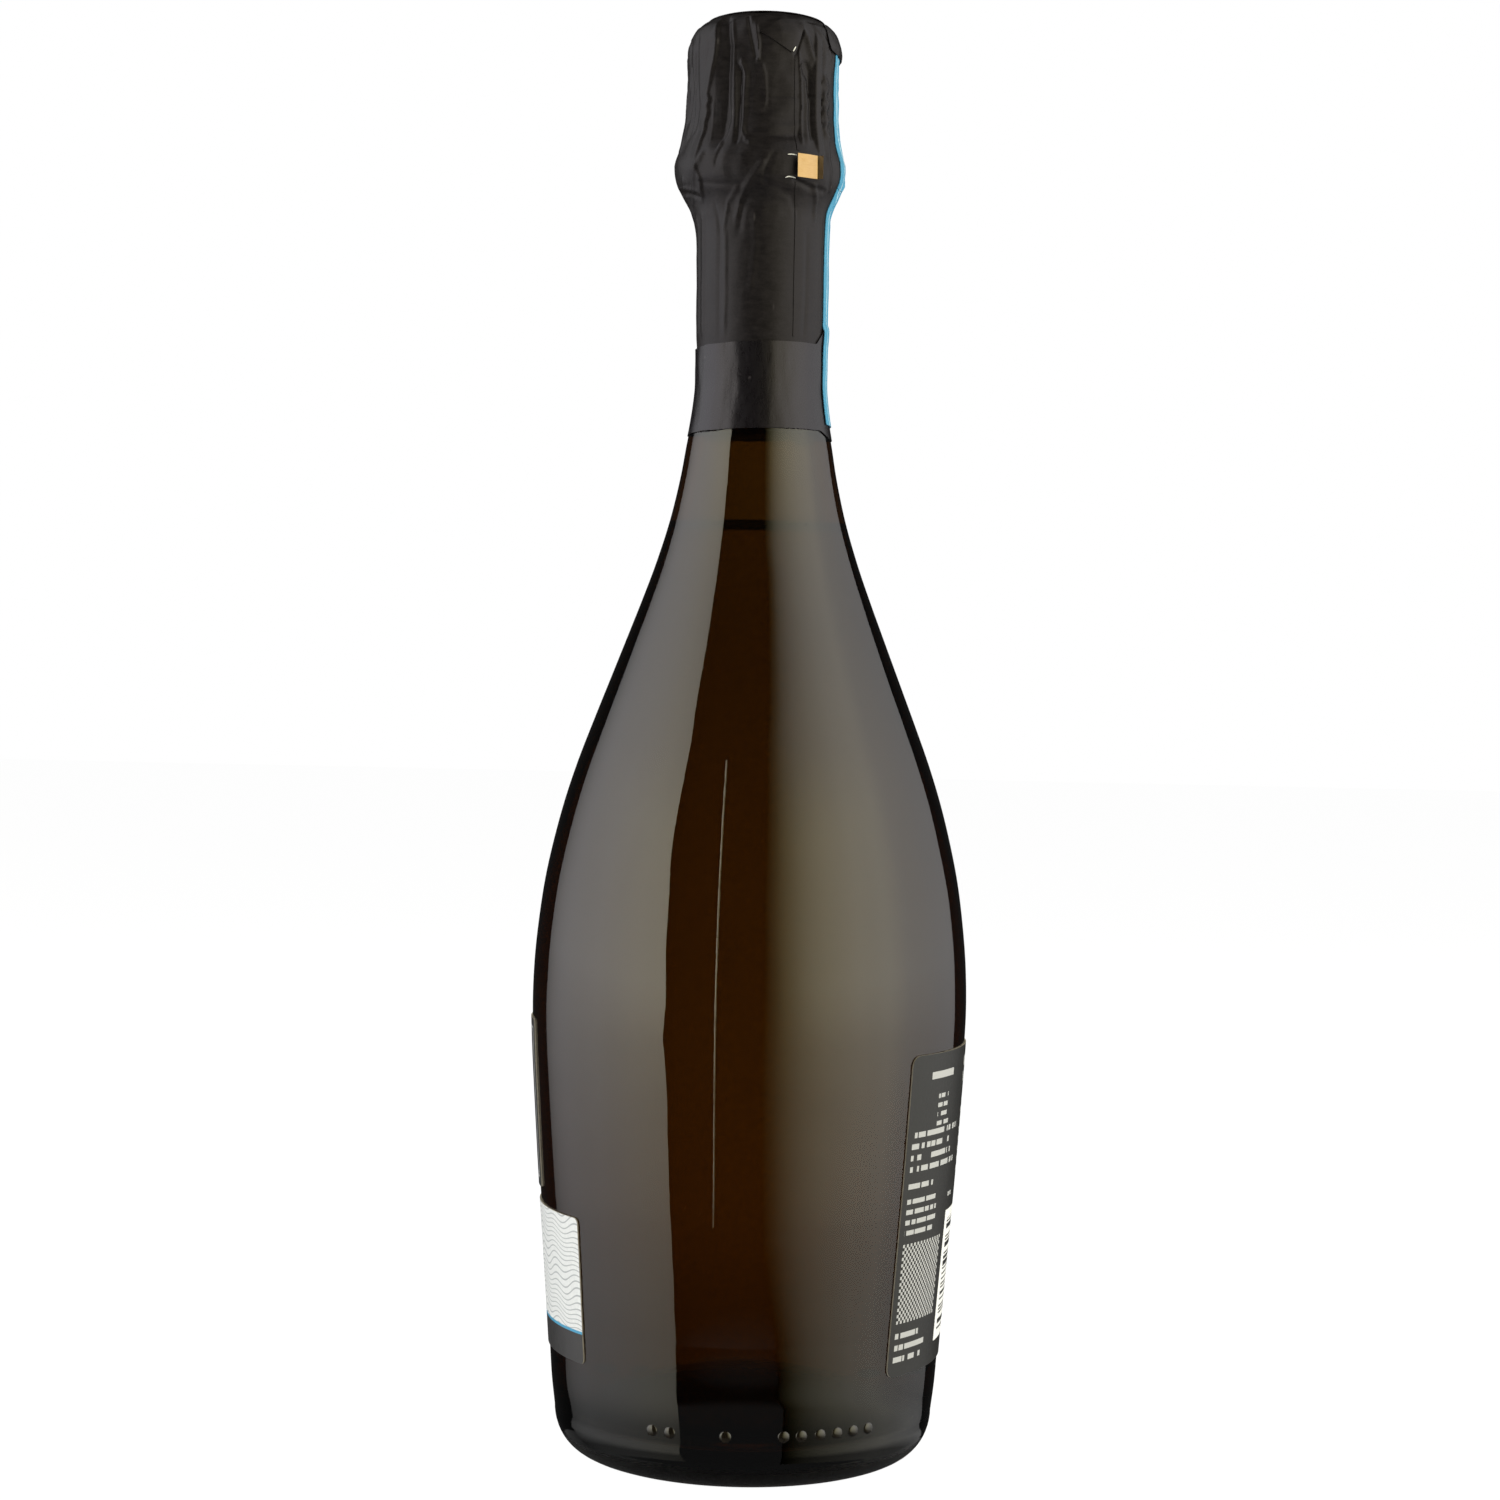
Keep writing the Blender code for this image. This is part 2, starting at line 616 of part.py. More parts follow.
def band_span(bearing):
    """The neck band's heights at a bearing: a skewed strap, and the wider panel at the back."""
    away = abs((bearing - BAND_PANEL_BEARING + math.pi) % math.tau - math.pi)
    share = min(max((BAND_PANEL_HALF_ANGLE - away) / BAND_CHAMFER_ANGLE, 0), 1)
    skew = -BAND_SKEW * math.cos(bearing)
    low = BAND_LOW + skew - BAND_PANEL_DROP * share
    high = BAND_HIGH + skew + BAND_PANEL_RISE * share
    return [low + (high - low) * row / BAND_ROWS for row in range(BAND_ROWS + 1)]


def band_carrier():
    """What the neck band lies on: the glass below the foil's foot, then the foil."""
    cover = GAP + FOIL_THICKNESS
    below = between(glass_outside(), 0, SKIRT_FOOT_HEIGHT)
    return [(radius + cover, height) for radius, height in below] + skirt_outline()


def make_neck_band(finish):
    """The band round the neck, over the foil's foot."""
    columns = [math.tau * step / BAND_COLUMNS for step in range(BAND_COLUMNS + 1)]
    sheet("neck_band", band_carrier(), columns, band_span, GAP, PAPER_THICKNESS, finish)


def make_seal(finish, parent):
    """The paper seal strip down the back of the neck, cut where the capsule tears."""
    radius = CROWN_WAIST_RADIUS
    half_angle = SEAL_WIDTH / radius / 2
    columns = [
        SEAL_BEARING - half_angle + 2 * half_angle * step / SEAL_COLUMNS for step in range(SEAL_COLUMNS + 1)
    ]
    band_top = band_span(SEAL_BEARING)[-1]
    step_up = GAP + PAPER_THICKNESS
    on_band = [(out + step_up, up) for out, up in between(band_carrier(), SEAL_LOW, band_top + GAP)]
    above = between(skirt_outline(), band_top + step_up + GAP, skirt_outline()[-1][1])
    lower = on_band + above
    upper = tear_outline() + crown_outline()
    lift_line = tear_outline()[0][1]
    for name, carrier, low, high, holder in (
        ("seal_strip_lower", lower, SEAL_LOW, lift_line - GAP, None),
        ("seal_strip_upper", upper, lift_line, SEAL_HIGH, parent),
    ):
        heights = [up for _, up in between(carrier, low, high)]
        sheet(name, carrier, columns, lambda _, up=heights: up, GAP, PAPER_THICKNESS, finish, holder)


def build():
    """Make every piece."""
    for old in list(bpy.data.objects):
        bpy.data.objects.remove(old, do_unlink=True)
    cork_group = group("cork_group")
    cage_group = group("cage_group", cork_group)
    capsule_group = group("capsule_group", cage_group)
    foil = material("black_foil", FOIL_COLOUR, 0.38)
    steel = material("cage_wire", WIRE_COLOUR, 0.3, 1.0)
    paper = material("blue_paper", SEAL_COLOUR, 0.5)
    black = material("black_label", LABEL_BLACK, 0.45)
    silver = material("silver_label", LABEL_SILVER, 0.4)
    back = material("back_label_paper", BACK_LABEL_GREY, 0.45)

    make_glass(material("amber_glass", GLASS_COLOUR, 0.05))
    make_wine(material("wine_liquid", WINE_COLOUR, 0.05))
    for name, size, finish in (
        ("front_label_upper", UPPER_LABEL, black),
        ("front_label_lower", LOWER_LABEL, silver),
        ("back_label", BACK_LABEL, back),
    ):
        make_label(name, *size, finish)

    cork = material("pressed_cork", CORK_COLOUR, 0.85)
    make_cork(cork, material("whole_cork", CORK_DISC_COLOUR, 0.85), cork_group)
    make_plaque(material("plaque_tin", PLAQUE_COLOUR, 0.25, 1.0), cage_group)
    make_cage_ring(steel, cage_group)
    make_cage_legs(steel, cage_group)
    make_cage_belt(steel, cage_group)
    make_capsule(foil, capsule_group)
    make_tab(material("gold_tab", GOLD_COLOUR, 0.35, 1.0), capsule_group)
    make_neck_band(material("satin_band", BAND_COLOUR, 0.4))
    make_seal(paper, capsule_group)


build()
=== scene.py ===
# %% [markdown]
# # A sealed bottle of sparkling wine
# The CAD model is loaded as a fixed frame. It already has the right size and it knows which parts move.
# Everything made below is dress: most new pieces take the place of one CAD node, a few thin ones are
# laid over them, and each rides on a body. Units are metres, +Z runs up the bottle's axis, and a bearing
# is the angle round that axis, counted from the middle of the front label towards +X.

# %% Load the fixed frame
import math
import random

import bmesh
import bpy
from mathutils import Matrix, Vector, noise


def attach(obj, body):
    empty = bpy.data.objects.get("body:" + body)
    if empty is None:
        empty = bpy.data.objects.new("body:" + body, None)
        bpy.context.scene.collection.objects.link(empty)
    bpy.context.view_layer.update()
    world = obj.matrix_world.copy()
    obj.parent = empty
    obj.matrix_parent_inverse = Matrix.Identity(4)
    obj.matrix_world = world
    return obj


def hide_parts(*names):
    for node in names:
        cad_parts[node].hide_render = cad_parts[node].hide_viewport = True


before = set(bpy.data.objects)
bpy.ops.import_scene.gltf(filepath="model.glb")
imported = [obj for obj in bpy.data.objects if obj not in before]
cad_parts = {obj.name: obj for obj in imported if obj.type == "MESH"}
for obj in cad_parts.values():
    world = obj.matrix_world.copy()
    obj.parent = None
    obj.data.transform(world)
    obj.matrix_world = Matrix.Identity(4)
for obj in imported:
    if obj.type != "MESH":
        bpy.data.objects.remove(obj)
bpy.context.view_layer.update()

MM = 0.001

# %% [markdown]
# ## Camera
# The photograph is taken with a longish lens from a little above half height. The camera's place came
# from the bottle's own outline: the width of the glass gives the distance, the curve of the label edges
# gives the height. A camera can be turned with a constraint or with a matrix. A matrix built from the
# line of sight is used here, with a small roll, because it leaves nothing behind that could move.

# %% The camera
CAMERA_BEARING = math.radians(100)
CAMERA_DISTANCE = 0.591
CAMERA_HEIGHT = 0.158
AIM_HEIGHT = 0.1494
AIM_LEFT = 0.00083
CAMERA_ROLL = math.radians(1.0)
LENS = 66
SENSOR = 36


def towards(bearing, radius, height):
    """The point at a bearing, a radius and a height."""
    return Vector((radius * math.sin(bearing), -radius * math.cos(bearing), height))


def make_camera():
    """The camera at the photograph's viewing angle."""
    data = bpy.data.cameras.new("camera")
    data.lens = LENS
    data.sensor_width = SENSOR
    data.clip_start = 0.01
    camera = bpy.data.objects.new("camera", data)
    bpy.context.scene.collection.objects.link(camera)
    spot = towards(CAMERA_BEARING, CAMERA_DISTANCE, CAMERA_HEIGHT)
    aim = towards(CAMERA_BEARING - math.pi / 2, AIM_LEFT, AIM_HEIGHT)
    turn = (aim - spot).to_track_quat("-Z", "Y").to_matrix().to_4x4()
    camera.matrix_world = Matrix.Translation(spot) @ turn @ Matrix.Rotation(CAMERA_ROLL, 4, "Z")
    bpy.context.scene.camera = camera
    return spot


print("camera at", [round(value, 3) for value in make_camera()])

# %% [markdown]
# ## Helpers for materials
# A Blender material is a tree of nodes. Typing every link by hand hides what the material is, so two
# small helpers add a node and plug values or other sockets into it. Colours are written as they look on
# a screen, from 0 to 255, and turned into the linear values that the shader wants.

# %% Nodes and colours


def add(tree, kind, plugs=None, **settings):
    """Add a node, set it up, and plug values or sockets into its inputs."""
    made = tree.nodes.new("ShaderNode" + kind)
    for key, value in settings.items():
        setattr(made, key, value)
    for key, value in (plugs or {}).items():
        plug(tree, made.inputs[key], value)
    return made


def plug(tree, socket, value):
    """Link a socket into another, or write a plain value on it."""
    if isinstance(value, bpy.types.NodeSocket):
        tree.links.new(value, socket)
    else:
        socket.default_value = value


def maths(tree, operation, first, second=0.0, third=0.0):
    """The output of one Math node."""
    return add(tree, "Math", {0: first, 1: second, 2: third}, operation=operation).outputs[0]


def times(tree, first, second):
    """One value times another."""
    return maths(tree, "MULTIPLY", first, second)


def linear(*screen):
    """A linear colour from screen values between 0 and 255."""
    shares = [value / 255 for value in screen]
    return (*[s / 12.92 if s <= 0.04045 else ((s + 0.055) / 1.055) ** 2.4 for s in shares], 1)


def mixed(tree, share, first, second):
    """A colour between two others."""
    blend = add(tree, "Mix", {"Factor": share}, data_type="RGBA")
    plug(tree, blend.inputs[6], first)
    plug(tree, blend.inputs[7], second)
    return blend.outputs[2]


def finish(name, **plain):
    """A new Principled material: the material, its tree and its shader, with plain numbers set on it."""
    made = bpy.data.materials.new(name)
    made.use_nodes = True
    shader = made.node_tree.nodes["Principled BSDF"]
    for key, value in plain.items():
        shader.inputs[key.replace("_", " ")].default_value = value
    return made, made.node_tree, shader


def paint(tree, shader, colour):
    """Give the shader its colour."""
    plug(tree, shader.inputs["Base Color"], colour)


def ranged(tree, value, low, high, start=0.0, end=1.0):
    """A value moved from one range to another, and held at its ends."""
    plugs = {"Value": value, "From Min": low, "From Max": high, "To Min": start, "To Max": end}
    return add(tree, "MapRange", plugs).outputs["Result"]


def place_in(tree):
    """The point on the object, in metres."""
    return add(tree, "TexCoord").outputs["Object"]


print("screen grey 128 is", round(linear(128)[0], 3), "in linear light")

# %% [markdown]
# ## Shared effects
# Several finishes need the same few things: a fine grain, a soft crumple and tiny specks of dust or
# scratches. Each is built once as a node group with named inputs, then placed where it is needed with
# its own numbers. The groups only put out values, and the shader stays in each material.

# %% Node groups for grain, crumple and specks


def new_group(name, takes, gives):
    """An empty node group with float or vector sockets, what it is given and what it puts out."""
    made = bpy.data.node_groups.new(name, "ShaderNodeTree")
    for title, value in takes.items():
        kind = "NodeSocketVector" if value is None else "NodeSocketFloat"
        socket = made.interface.new_socket(title, in_out="INPUT", socket_type=kind)
        if value is not None:
            socket.default_value = value
    for title in gives:
        made.interface.new_socket(title, in_out="OUTPUT", socket_type="NodeSocketFloat")
    return made, made.nodes.new("NodeGroupInput").outputs, made.nodes.new("NodeGroupOutput").inputs


def stretched(tree, vector, upright):
    """A vector whose height counts for less, so that a pattern runs upright."""
    flat = add(tree, "CombineXYZ", {0: 1.0, 1: 1.0, 2: upright}).outputs[0]
    return add(tree, "VectorMath", {0: vector, 1: flat}, operation="MULTIPLY").outputs[0]


def make_grain():
    """Fine grain: two sizes of noise, drawn out upwards where Upright is below 1."""
    group, given, out = new_group("fine_grain", {"Vector": None, "Scale": 900.0, "Upright": 1.0}, ["Height"])
    spot = stretched(group, given["Vector"], given["Upright"])
    coarse = add(group, "TexNoise", {"Vector": spot, "Scale": given["Scale"], "Detail": 3.0})
    fine_scale = times(group, given["Scale"], 3.7)
    fine = add(group, "TexNoise", {"Vector": spot, "Scale": fine_scale, "Detail": 2.0})
    both = maths(group, "MULTIPLY_ADD", fine.outputs[0], 0.45, coarse.outputs[0])
    plug(group, out["Height"], both)
    return group


def make_crumple():
    """Soft crumple: creased cells such as a thin sheet shows when it is pressed on by hand."""
    group, given, out = new_group("crumple", {"Vector": None, "Scale": 260.0, "Upright": 0.6}, ["Height"])
    spot = stretched(group, given["Vector"], given["Upright"])
    bend_scale = times(group, given["Scale"], 0.5)
    bend = add(group, "TexNoise", {"Vector": spot, "Scale": bend_scale})
    shift = add(group, "VectorMath", {0: bend.outputs["Color"], "Scale": 0.003}, operation="SCALE")
    moved = add(group, "VectorMath", {0: spot, 1: shift.outputs[0]}).outputs[0]
    plugs = {"Vector": moved, "Scale": given["Scale"]}
    cells = add(group, "TexVoronoi", plugs, feature="F1", distance="EUCLIDEAN")
    plug(group, out["Height"], cells.outputs["Distance"])
    return group


def make_specks():
    """Tiny specks: 1 in the middle of a few cells, 0 elsewhere."""
    takes = {"Vector": None, "Scale": 400.0, "Amount": 0.1, "Size": 0.12}
    group, given, out = new_group("specks", takes, ["Mask"])
    cells = add(group, "TexVoronoi", {"Vector": given["Vector"], "Scale": given["Scale"]})
    parts = add(group, "SeparateColor", {0: cells.outputs["Color"]})
    chosen = maths(group, "LESS_THAN", parts.outputs[0], given["Amount"])
    inside = ranged(group, cells.outputs["Distance"], given["Size"], 0.0)
    plug(group, out["Mask"], times(group, chosen, inside))
    return group


GRAIN = make_grain()
CRUMPLE = make_crumple()
SPECKS = make_specks()


def placed(tree, group, **plugs):
    """Place a node group in a material and return its outputs."""
    made = tree.nodes.new("ShaderNodeGroup")
    made.node_tree = group
    for key, value in plugs.items():
        plug(tree, made.inputs[key], value)
    return made.outputs


def use(tree, group, **plugs):
    """Place a node group in a material and return its first output."""
    return placed(tree, group, **plugs)[0]


def bump(tree, shader, height, distance, under=None):
    """A Bump node on the shader's normal, on top of another one if given."""
    plugs = {"Height": height, "Distance": distance}
    if under is not None:
        plugs["Normal"] = under
    made = add(tree, "Bump", plugs).outputs[0]
    plug(tree, shader.inputs["Normal"], made)
    return made


def toned(tree, grain, first, second, low=0.4, high=1.1):
    """A colour that the grain moves between two others."""
    return mixed(tree, ranged(tree, grain, low, high), first, second)


def grained(name, scale, upright, tones, span=(0.4, 1.1), rough=None, depth=None, marks=None, **plain):
    """A finish whose grain moves its tone, its roughness and its surface, with marks strewn over."""
    made, tree, shader = finish(name, **plain)
    spot = place_in(tree)
    grain = use(tree, GRAIN, Vector=spot, Scale=scale, Upright=upright)
    colour = toned(tree, grain, *tones, *span)
    if marks:
        mark_scale, amount, size, strength, mark_colour = marks
        specks = use(tree, SPECKS, Vector=spot, Scale=mark_scale, Amount=amount, Size=size)
        colour = mixed(tree, times(tree, specks, strength), colour, mark_colour)
    paint(tree, shader, colour)
    if rough:
        plug(tree, shader.inputs["Roughness"], ranged(tree, grain, *rough))
    if depth:
        bump(tree, shader, grain, depth)
    return made


print("node groups:", [group.name for group in (GRAIN, CRUMPLE, SPECKS)])

# %% [markdown]
# ## Studio
# A dark bottle is lit by what it mirrors. The photograph shows one tall light panel on the left with a
# crisp edge, one on the right with a soft edge, and darkness behind the camera and at the rims. Panels
# could be area lights, but a bent sheet that glows can fade along its width, so sheets are used. The
# surroundings are white where the camera looks and where the glass is looked through, and dark where
# they would only be mirrored.

# %% Light panels
PANEL_RADIUS = 0.9
PANEL_HEIGHTS = (-0.75, -0.33, -0.27, -0.17, -0.06, 0.05, 0.25, 0.45, 0.9, 1.0, 1.6)
PANEL_FADE = (-0.5, 0.1)
PANEL_FAINT = 0.12
PANEL_STEPS = 48
WARM_LIGHT = (1.0, 0.9, 0.4)
LEVEL_FOOT = (-0.5, -0.12)
LEVEL_HEAD = (0.95, 0.5)
# Each stop: bearing, then strength and warmth at level height, then both far above and below.
LEFT_PANEL = (
    (-40, 0.5, 0.0, 0.46, 0.0), (-19, 1.7, 0.0, 1.5, 0.0), (6, 2.9, 0.1, 2.3, 0.05),
    (20, 3.35, 0.2, 2.6, 0.1), (33, 3.7, 0.3, 2.7, 0.2), (50, 3.7, 0.4, 2.45, 0.25),
    (64, 3.5, 0.4, 2.3, 0.25),
)
LEFT_LEAN = (14, 14, 11.3, 10, 7.3, 8.8, 7.6, 5, 3.4, 2.4, 2)
LEFT_END = 48
RIGHT_PANEL = (
    (107, 0.0, 1.0, 0.0, 0.9), (113, 0.5, 1.0, 0.4, 0.8), (119, 1.2, 0.85, 0.88, 0.5),
    (128, 2.15, 0.65, 1.45, 0.35), (140, 3.0, 0.55, 1.98, 0.3), (158, 3.5, 0.4, 2.46, 0.2),
    (176, 3.3, 0.3, 2.55, 0.15), (190, 2.4, 0.15, 2.0, 0.1), (215, 1.35, 0.05, 1.15, 0.0),
    (236, 0.65, 0.0, 0.53, 0.0),
)
RIGHT_LEAN = (19, 17, 1.5, 0.5, 0, 0, 0, 1, 3, 7, 7)


def link(name, mesh, *finishes):
    """Link a mesh as a named object with its materials."""
    made = bpy.data.objects.new(name, mesh)
    for each in finishes:
        mesh.materials.append(each)
    bpy.context.scene.collection.objects.link(made)
    return made


def fill_ramp(tree, share, stops, strongest, column):
    """A colour ramp over the stops, from their strength and their warmth."""
    ramp = add(tree, "ValToRGB", {0: share})
    points = ramp.color_ramp.elements
    while len(points) < len(stops):
        points.new(0.5)
    for point, stop in zip(points, stops):
        strength, warmth = stop[column:column + 2]
        point.position = (stop[0] - stops[0][0]) / (stops[-1][0] - stops[0][0])
        point.color = (*[strength / strongest * (1 + (tint - 1) * warmth) for tint in WARM_LIGHT], 1)
    return ramp.outputs[0]


def glow(name, stops):
    """A light that changes along its sheet, as its stops say."""
    made, tree, shader = finish(name)
    parts = add(tree, "SeparateXYZ", {0: add(tree, "UVMap", uv_map="sheet").outputs[0]})
    strongest = max(stop[1] for stop in stops)
    share = ranged(tree, parts.outputs[0], stops[0][0], stops[-1][0])
    height = parts.outputs[1]
    level = maths(tree, "MINIMUM", ranged(tree, height, *LEVEL_FOOT), ranged(tree, height, *LEVEL_HEAD))
    far = fill_ramp(tree, share, stops, strongest, 3)
    colour = mixed(tree, level, far, fill_ramp(tree, share, stops, strongest, 1))
    fade = ranged(tree, height, *PANEL_FADE, PANEL_FAINT * strongest, strongest)
    light = add(tree, "Emission", {"Color": colour, "Strength": fade})
    tree.links.new(light.outputs[0], tree.nodes["Material Output"].inputs[0])
    return made


def make_panel(name, stops, begin, end, lean):
    """A light panel bent round the bottle, unseen by the camera itself. It leans, so its edges slant."""
    shape = bmesh.new()
    spots = [shape.verts.new(towards(math.radians(begin), PANEL_RADIUS, height)) for height in PANEL_HEIGHTS]
    side = [shape.edges.new(pair) for pair in zip(spots, spots[1:])]
    turn = {"axis": (0, 0, 1), "cent": (0, 0, 0), "angle": math.radians(end - begin), "steps": PANEL_STEPS}
    bmesh.ops.spin(shape, geom=spots + side, **turn)
    layer = shape.loops.layers.uv.new("sheet")
    for face in shape.faces:
        for loop in face.loops:
            at = loop.vert.co
            bearing = begin + (math.degrees(math.atan2(at.x, -at.y)) - begin + 1) % 360 - 1
            loop[layer].uv = (bearing, at.z)
    for spot in shape.verts:
        angle = lean[min(range(len(lean)), key=lambda row: abs(PANEL_HEIGHTS[row] - spot.co.z))]
        spot.co = Matrix.Rotation(math.radians(angle), 3, "Z") @ spot.co
    mesh = bpy.data.meshes.new(name)
    shape.to_mesh(mesh)
    shape.free()
    panel = link(name, mesh, glow(name + "_light", stops))
    panel.visible_camera = False
    panel.visible_transmission = False
    panel.visible_shadow = False
    return panel


make_panel("panel_left", LEFT_PANEL, LEFT_PANEL[0][0], LEFT_END, LEFT_LEAN)
make_panel("panel_right", RIGHT_PANEL, RIGHT_PANEL[0][0], RIGHT_PANEL[-1][0], RIGHT_LEAN)
print("panels cover", LEFT_END - LEFT_PANEL[0][0], "and", RIGHT_PANEL[-1][0] - RIGHT_PANEL[0][0], "degrees")

# %% Floor and surroundings
FLOOR_HALF = 6.0
FLOOR_GLOW = 0.985
FLOOR_WHITE = (0.1, 0.1, 0.1, 1)
SURROUND_MIRRORED = 0.015
TABLE_MIRRORED = 0.11
TABLE_EDGE = (-0.366, -0.376)
BELOW_EDGE = (-0.95, -0.7)
SURROUND_SEEN = 1.0


def make_floor():
    """A plain pale floor that glows almost white, so that only a faint contact shadow shows."""
    shape = bmesh.new()
    bmesh.ops.create_grid(shape, x_segments=8, y_segments=8, size=FLOOR_HALF)
    mesh = bpy.data.meshes.new("floor")
    shape.to_mesh(mesh)
    shape.free()
    made, tree, shader = finish("floor_white")
    light = add(tree, "Emission", {"Strength": FLOOR_GLOW})
    matte = add(tree, "BsdfDiffuse", {"Color": FLOOR_WHITE})
    both = add(tree, "AddShader", {0: light.outputs[0], 1: matte.outputs[0]})
    tree.links.new(both.outputs[0], tree.nodes["Material Output"].inputs[0])
    floor = link("floor", mesh, made)
    floor.visible_glossy = False
    floor.visible_transmission = False


def make_surroundings():
    """White for the camera and through the glass above the table, dark in mirrored light."""
    world = bpy.data.worlds.new("studio")
    world.use_nodes = True
    tree = world.node_tree
    rays = add(tree, "LightPath")
    ways = add(tree, "TexCoord").outputs["Generated"]
    up = add(tree, "SeparateXYZ", {0: ways}).outputs[2]
    above = ranged(tree, up, *BELOW_EDGE)
    through = times(tree, rays.outputs["Is Transmission Ray"], above)
    seen = maths(tree, "MAXIMUM", rays.outputs["Is Camera Ray"], through)
    mirrored = ranged(tree, up, *TABLE_EDGE, SURROUND_MIRRORED, TABLE_MIRRORED)
    strength = ranged(tree, seen, 0.0, 1.0, mirrored, SURROUND_SEEN)
    plug(tree, tree.nodes["Background"].inputs["Strength"], strength)
    tree.nodes["Background"].inputs["Color"].default_value = (1, 1, 1, 1)
    bpy.context.scene.world = world
    bpy.context.scene.view_settings.view_transform = "Standard"


make_floor()
make_surroundings()
print("floor half size in m:", FLOOR_HALF)

# %% [markdown]
# ## Helpers for turned and bent pieces
# Glass, cork and foil are all round, so most pieces start as half an outline that is spun round the
# axis. An outline typed as a few measured points would look faceted, so a curve is run through them
# first. Labels and seal are cut flat, with their round corners, and then bent on to whatever carries
# them, just as paper is. Cutting the flat piece into narrow columns first lets it bend.

# %% Outlines and turning
TURN_STEPS = 144
MERGE = 0.00001


def held(value, low=0, high=1):
    """A value kept between two others."""
    return min(max(value, low), high)


def turn_from(middle, bearing):
    """How far a bearing lies from another, in degrees between -180 and 180."""
    return (bearing - middle + 180) % 360 - 180


def smooth(points, steps=6):
    """A curve through outline points that keeps to them, without overshooting."""
    line = [Vector(point) for point in points]
    line = [2 * line[0] - line[1], *line, 2 * line[-1] - line[-2]]
    made = []
    for one, two, three, four in zip(line, line[1:], line[2:], line[3:]):
        at_two = (two - one).length ** 0.5
        at_three = at_two + (three - two).length ** 0.5
        at_four = at_three + (four - three).length ** 0.5
        for step in range(steps):
            at = at_two + (at_three - at_two) * step / steps
            first = one.lerp(two, at / at_two)
            second = two.lerp(three, (at - at_two) / (at_three - at_two))
            third = three.lerp(four, (at - at_three) / (at_four - at_three))
            early = first.lerp(second, at / at_three)
            late = second.lerp(third, (at - at_two) / (at_four - at_two))
            made.append(early.lerp(late, (at - at_two) / (at_three - at_two)))
    return [*made, Vector(points[-1])]


def in_mm(*points):
    """Outline points in metres from radius and height in millimetres."""
    return [(radius * MM, height * MM) for radius, height in points]


def radius_at(outline, height):
    """The radius of an outline that runs upwards, at a height."""
    if height <= outline[0][1]:
        return outline[0][0]
    for low, high in zip(outline, outline[1:]):
        if low[1] <= height <= high[1] and high[1] > low[1]:
            return low[0] + (high[0] - low[0]) * (height - low[1]) / (high[1] - low[1])
    return outline[-1][0]


def turned(outline, closed=True, steps=TURN_STEPS):
    """A bmesh spun round the axis from an outline. A closed one ends where it starts, or on the axis."""
    shape = bmesh.new()
    points = [shape.verts.new((radius, 0, height)) for radius, height in outline]
    on_axis = outline[0][0] == 0 and outline[-1][0] == 0
    ends = points[1:] + points[:1] if closed and not on_axis else points[1:]
    edges = [shape.edges.new(pair) for pair in zip(points, ends)]
    turn = {"axis": (0, 0, 1), "cent": (0, 0, 0), "angle": math.tau, "steps": steps, "use_merge": True}
    bmesh.ops.spin(shape, geom=points + edges, **turn)
    bmesh.ops.remove_doubles(shape, verts=shape.verts, dist=MERGE)
    bmesh.ops.recalc_face_normals(shape, faces=shape.faces)
    return shape


def face_out(shape):
    """Turn an open sheet so that its faces look away from the axis."""
    shape.normal_update()
    outward = sum(face.normal.dot(face.calc_center_median() * Vector((1, 1, 0))) for face in shape.faces)
    if outward < 0:
        bmesh.ops.reverse_faces(shape, faces=shape.faces)


def push_out(spot, push):
    """Move a point away from the axis."""
    share = 1 + push / spot.co.xy.length
    spot.co.x *= share
    spot.co.y *= share


def piece(name, shape, body, finishes, nodes=(), sharp=35):
    """Turn a bmesh into a smooth piece that rides on a body and stands for CAD nodes."""
    mesh = bpy.data.meshes.new(name)
    shape.normal_update()
    for face in shape.faces:
        face.smooth = True
    for edge in shape.edges:
        edge.smooth = edge.is_manifold and edge.calc_face_angle() < math.radians(sharp)
    shape.to_mesh(mesh)
    shape.free()
    made = link(name, mesh, *finishes)
    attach(made, body)
    if nodes:
        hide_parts(*nodes)
    print(name, "has", len(mesh.polygons), "faces and rides on", body)
    return made


def thicken(made, thickness, outwards, rim=0):
    """Give a sheet its thickness with a Solidify modifier, outwards or inwards."""
    skin = made.modifiers.new("thickness", "SOLIDIFY")
    skin.thickness = thickness
    skin.offset = 1 if outwards else -1
    skin.material_offset_rim = rim
    return made


# %% Flat sheets bent round the bottle
def cut_along(shape, axis, low, high, count):
    """Cut a flat sheet across an axis at even steps, so that it can bend."""
    for step in range(1, count):
        cut = Vector(axis) * (low + (high - low) * step / count)
        parts = shape.verts[:] + shape.edges[:] + shape.faces[:]
        bmesh.ops.bisect_plane(shape, geom=parts, plane_co=cut, plane_no=axis)


def cut_flat(width, low, high, corner, across, up):
    """A flat sheet with round corners, x across and y up, cut into columns and rows."""
    shape = bmesh.new()
    bmesh.ops.create_grid(shape, x_segments=1, y_segments=1, size=0.5)
    for spot in shape.verts:
        spot.co = Vector((spot.co.x * width, low + (spot.co.y + 0.5) * (high - low), 0))
    if corner:
        corners = {"offset": corner, "segments": 6, "profile": 0.5, "affect": "VERTICES"}
        bmesh.ops.bevel(shape, geom=shape.verts[:], material=-1, **corners)
    cut_along(shape, (1, 0, 0), -width / 2, width / 2, across)
    cut_along(shape, (0, 1, 0), low, high, up)
    return shape


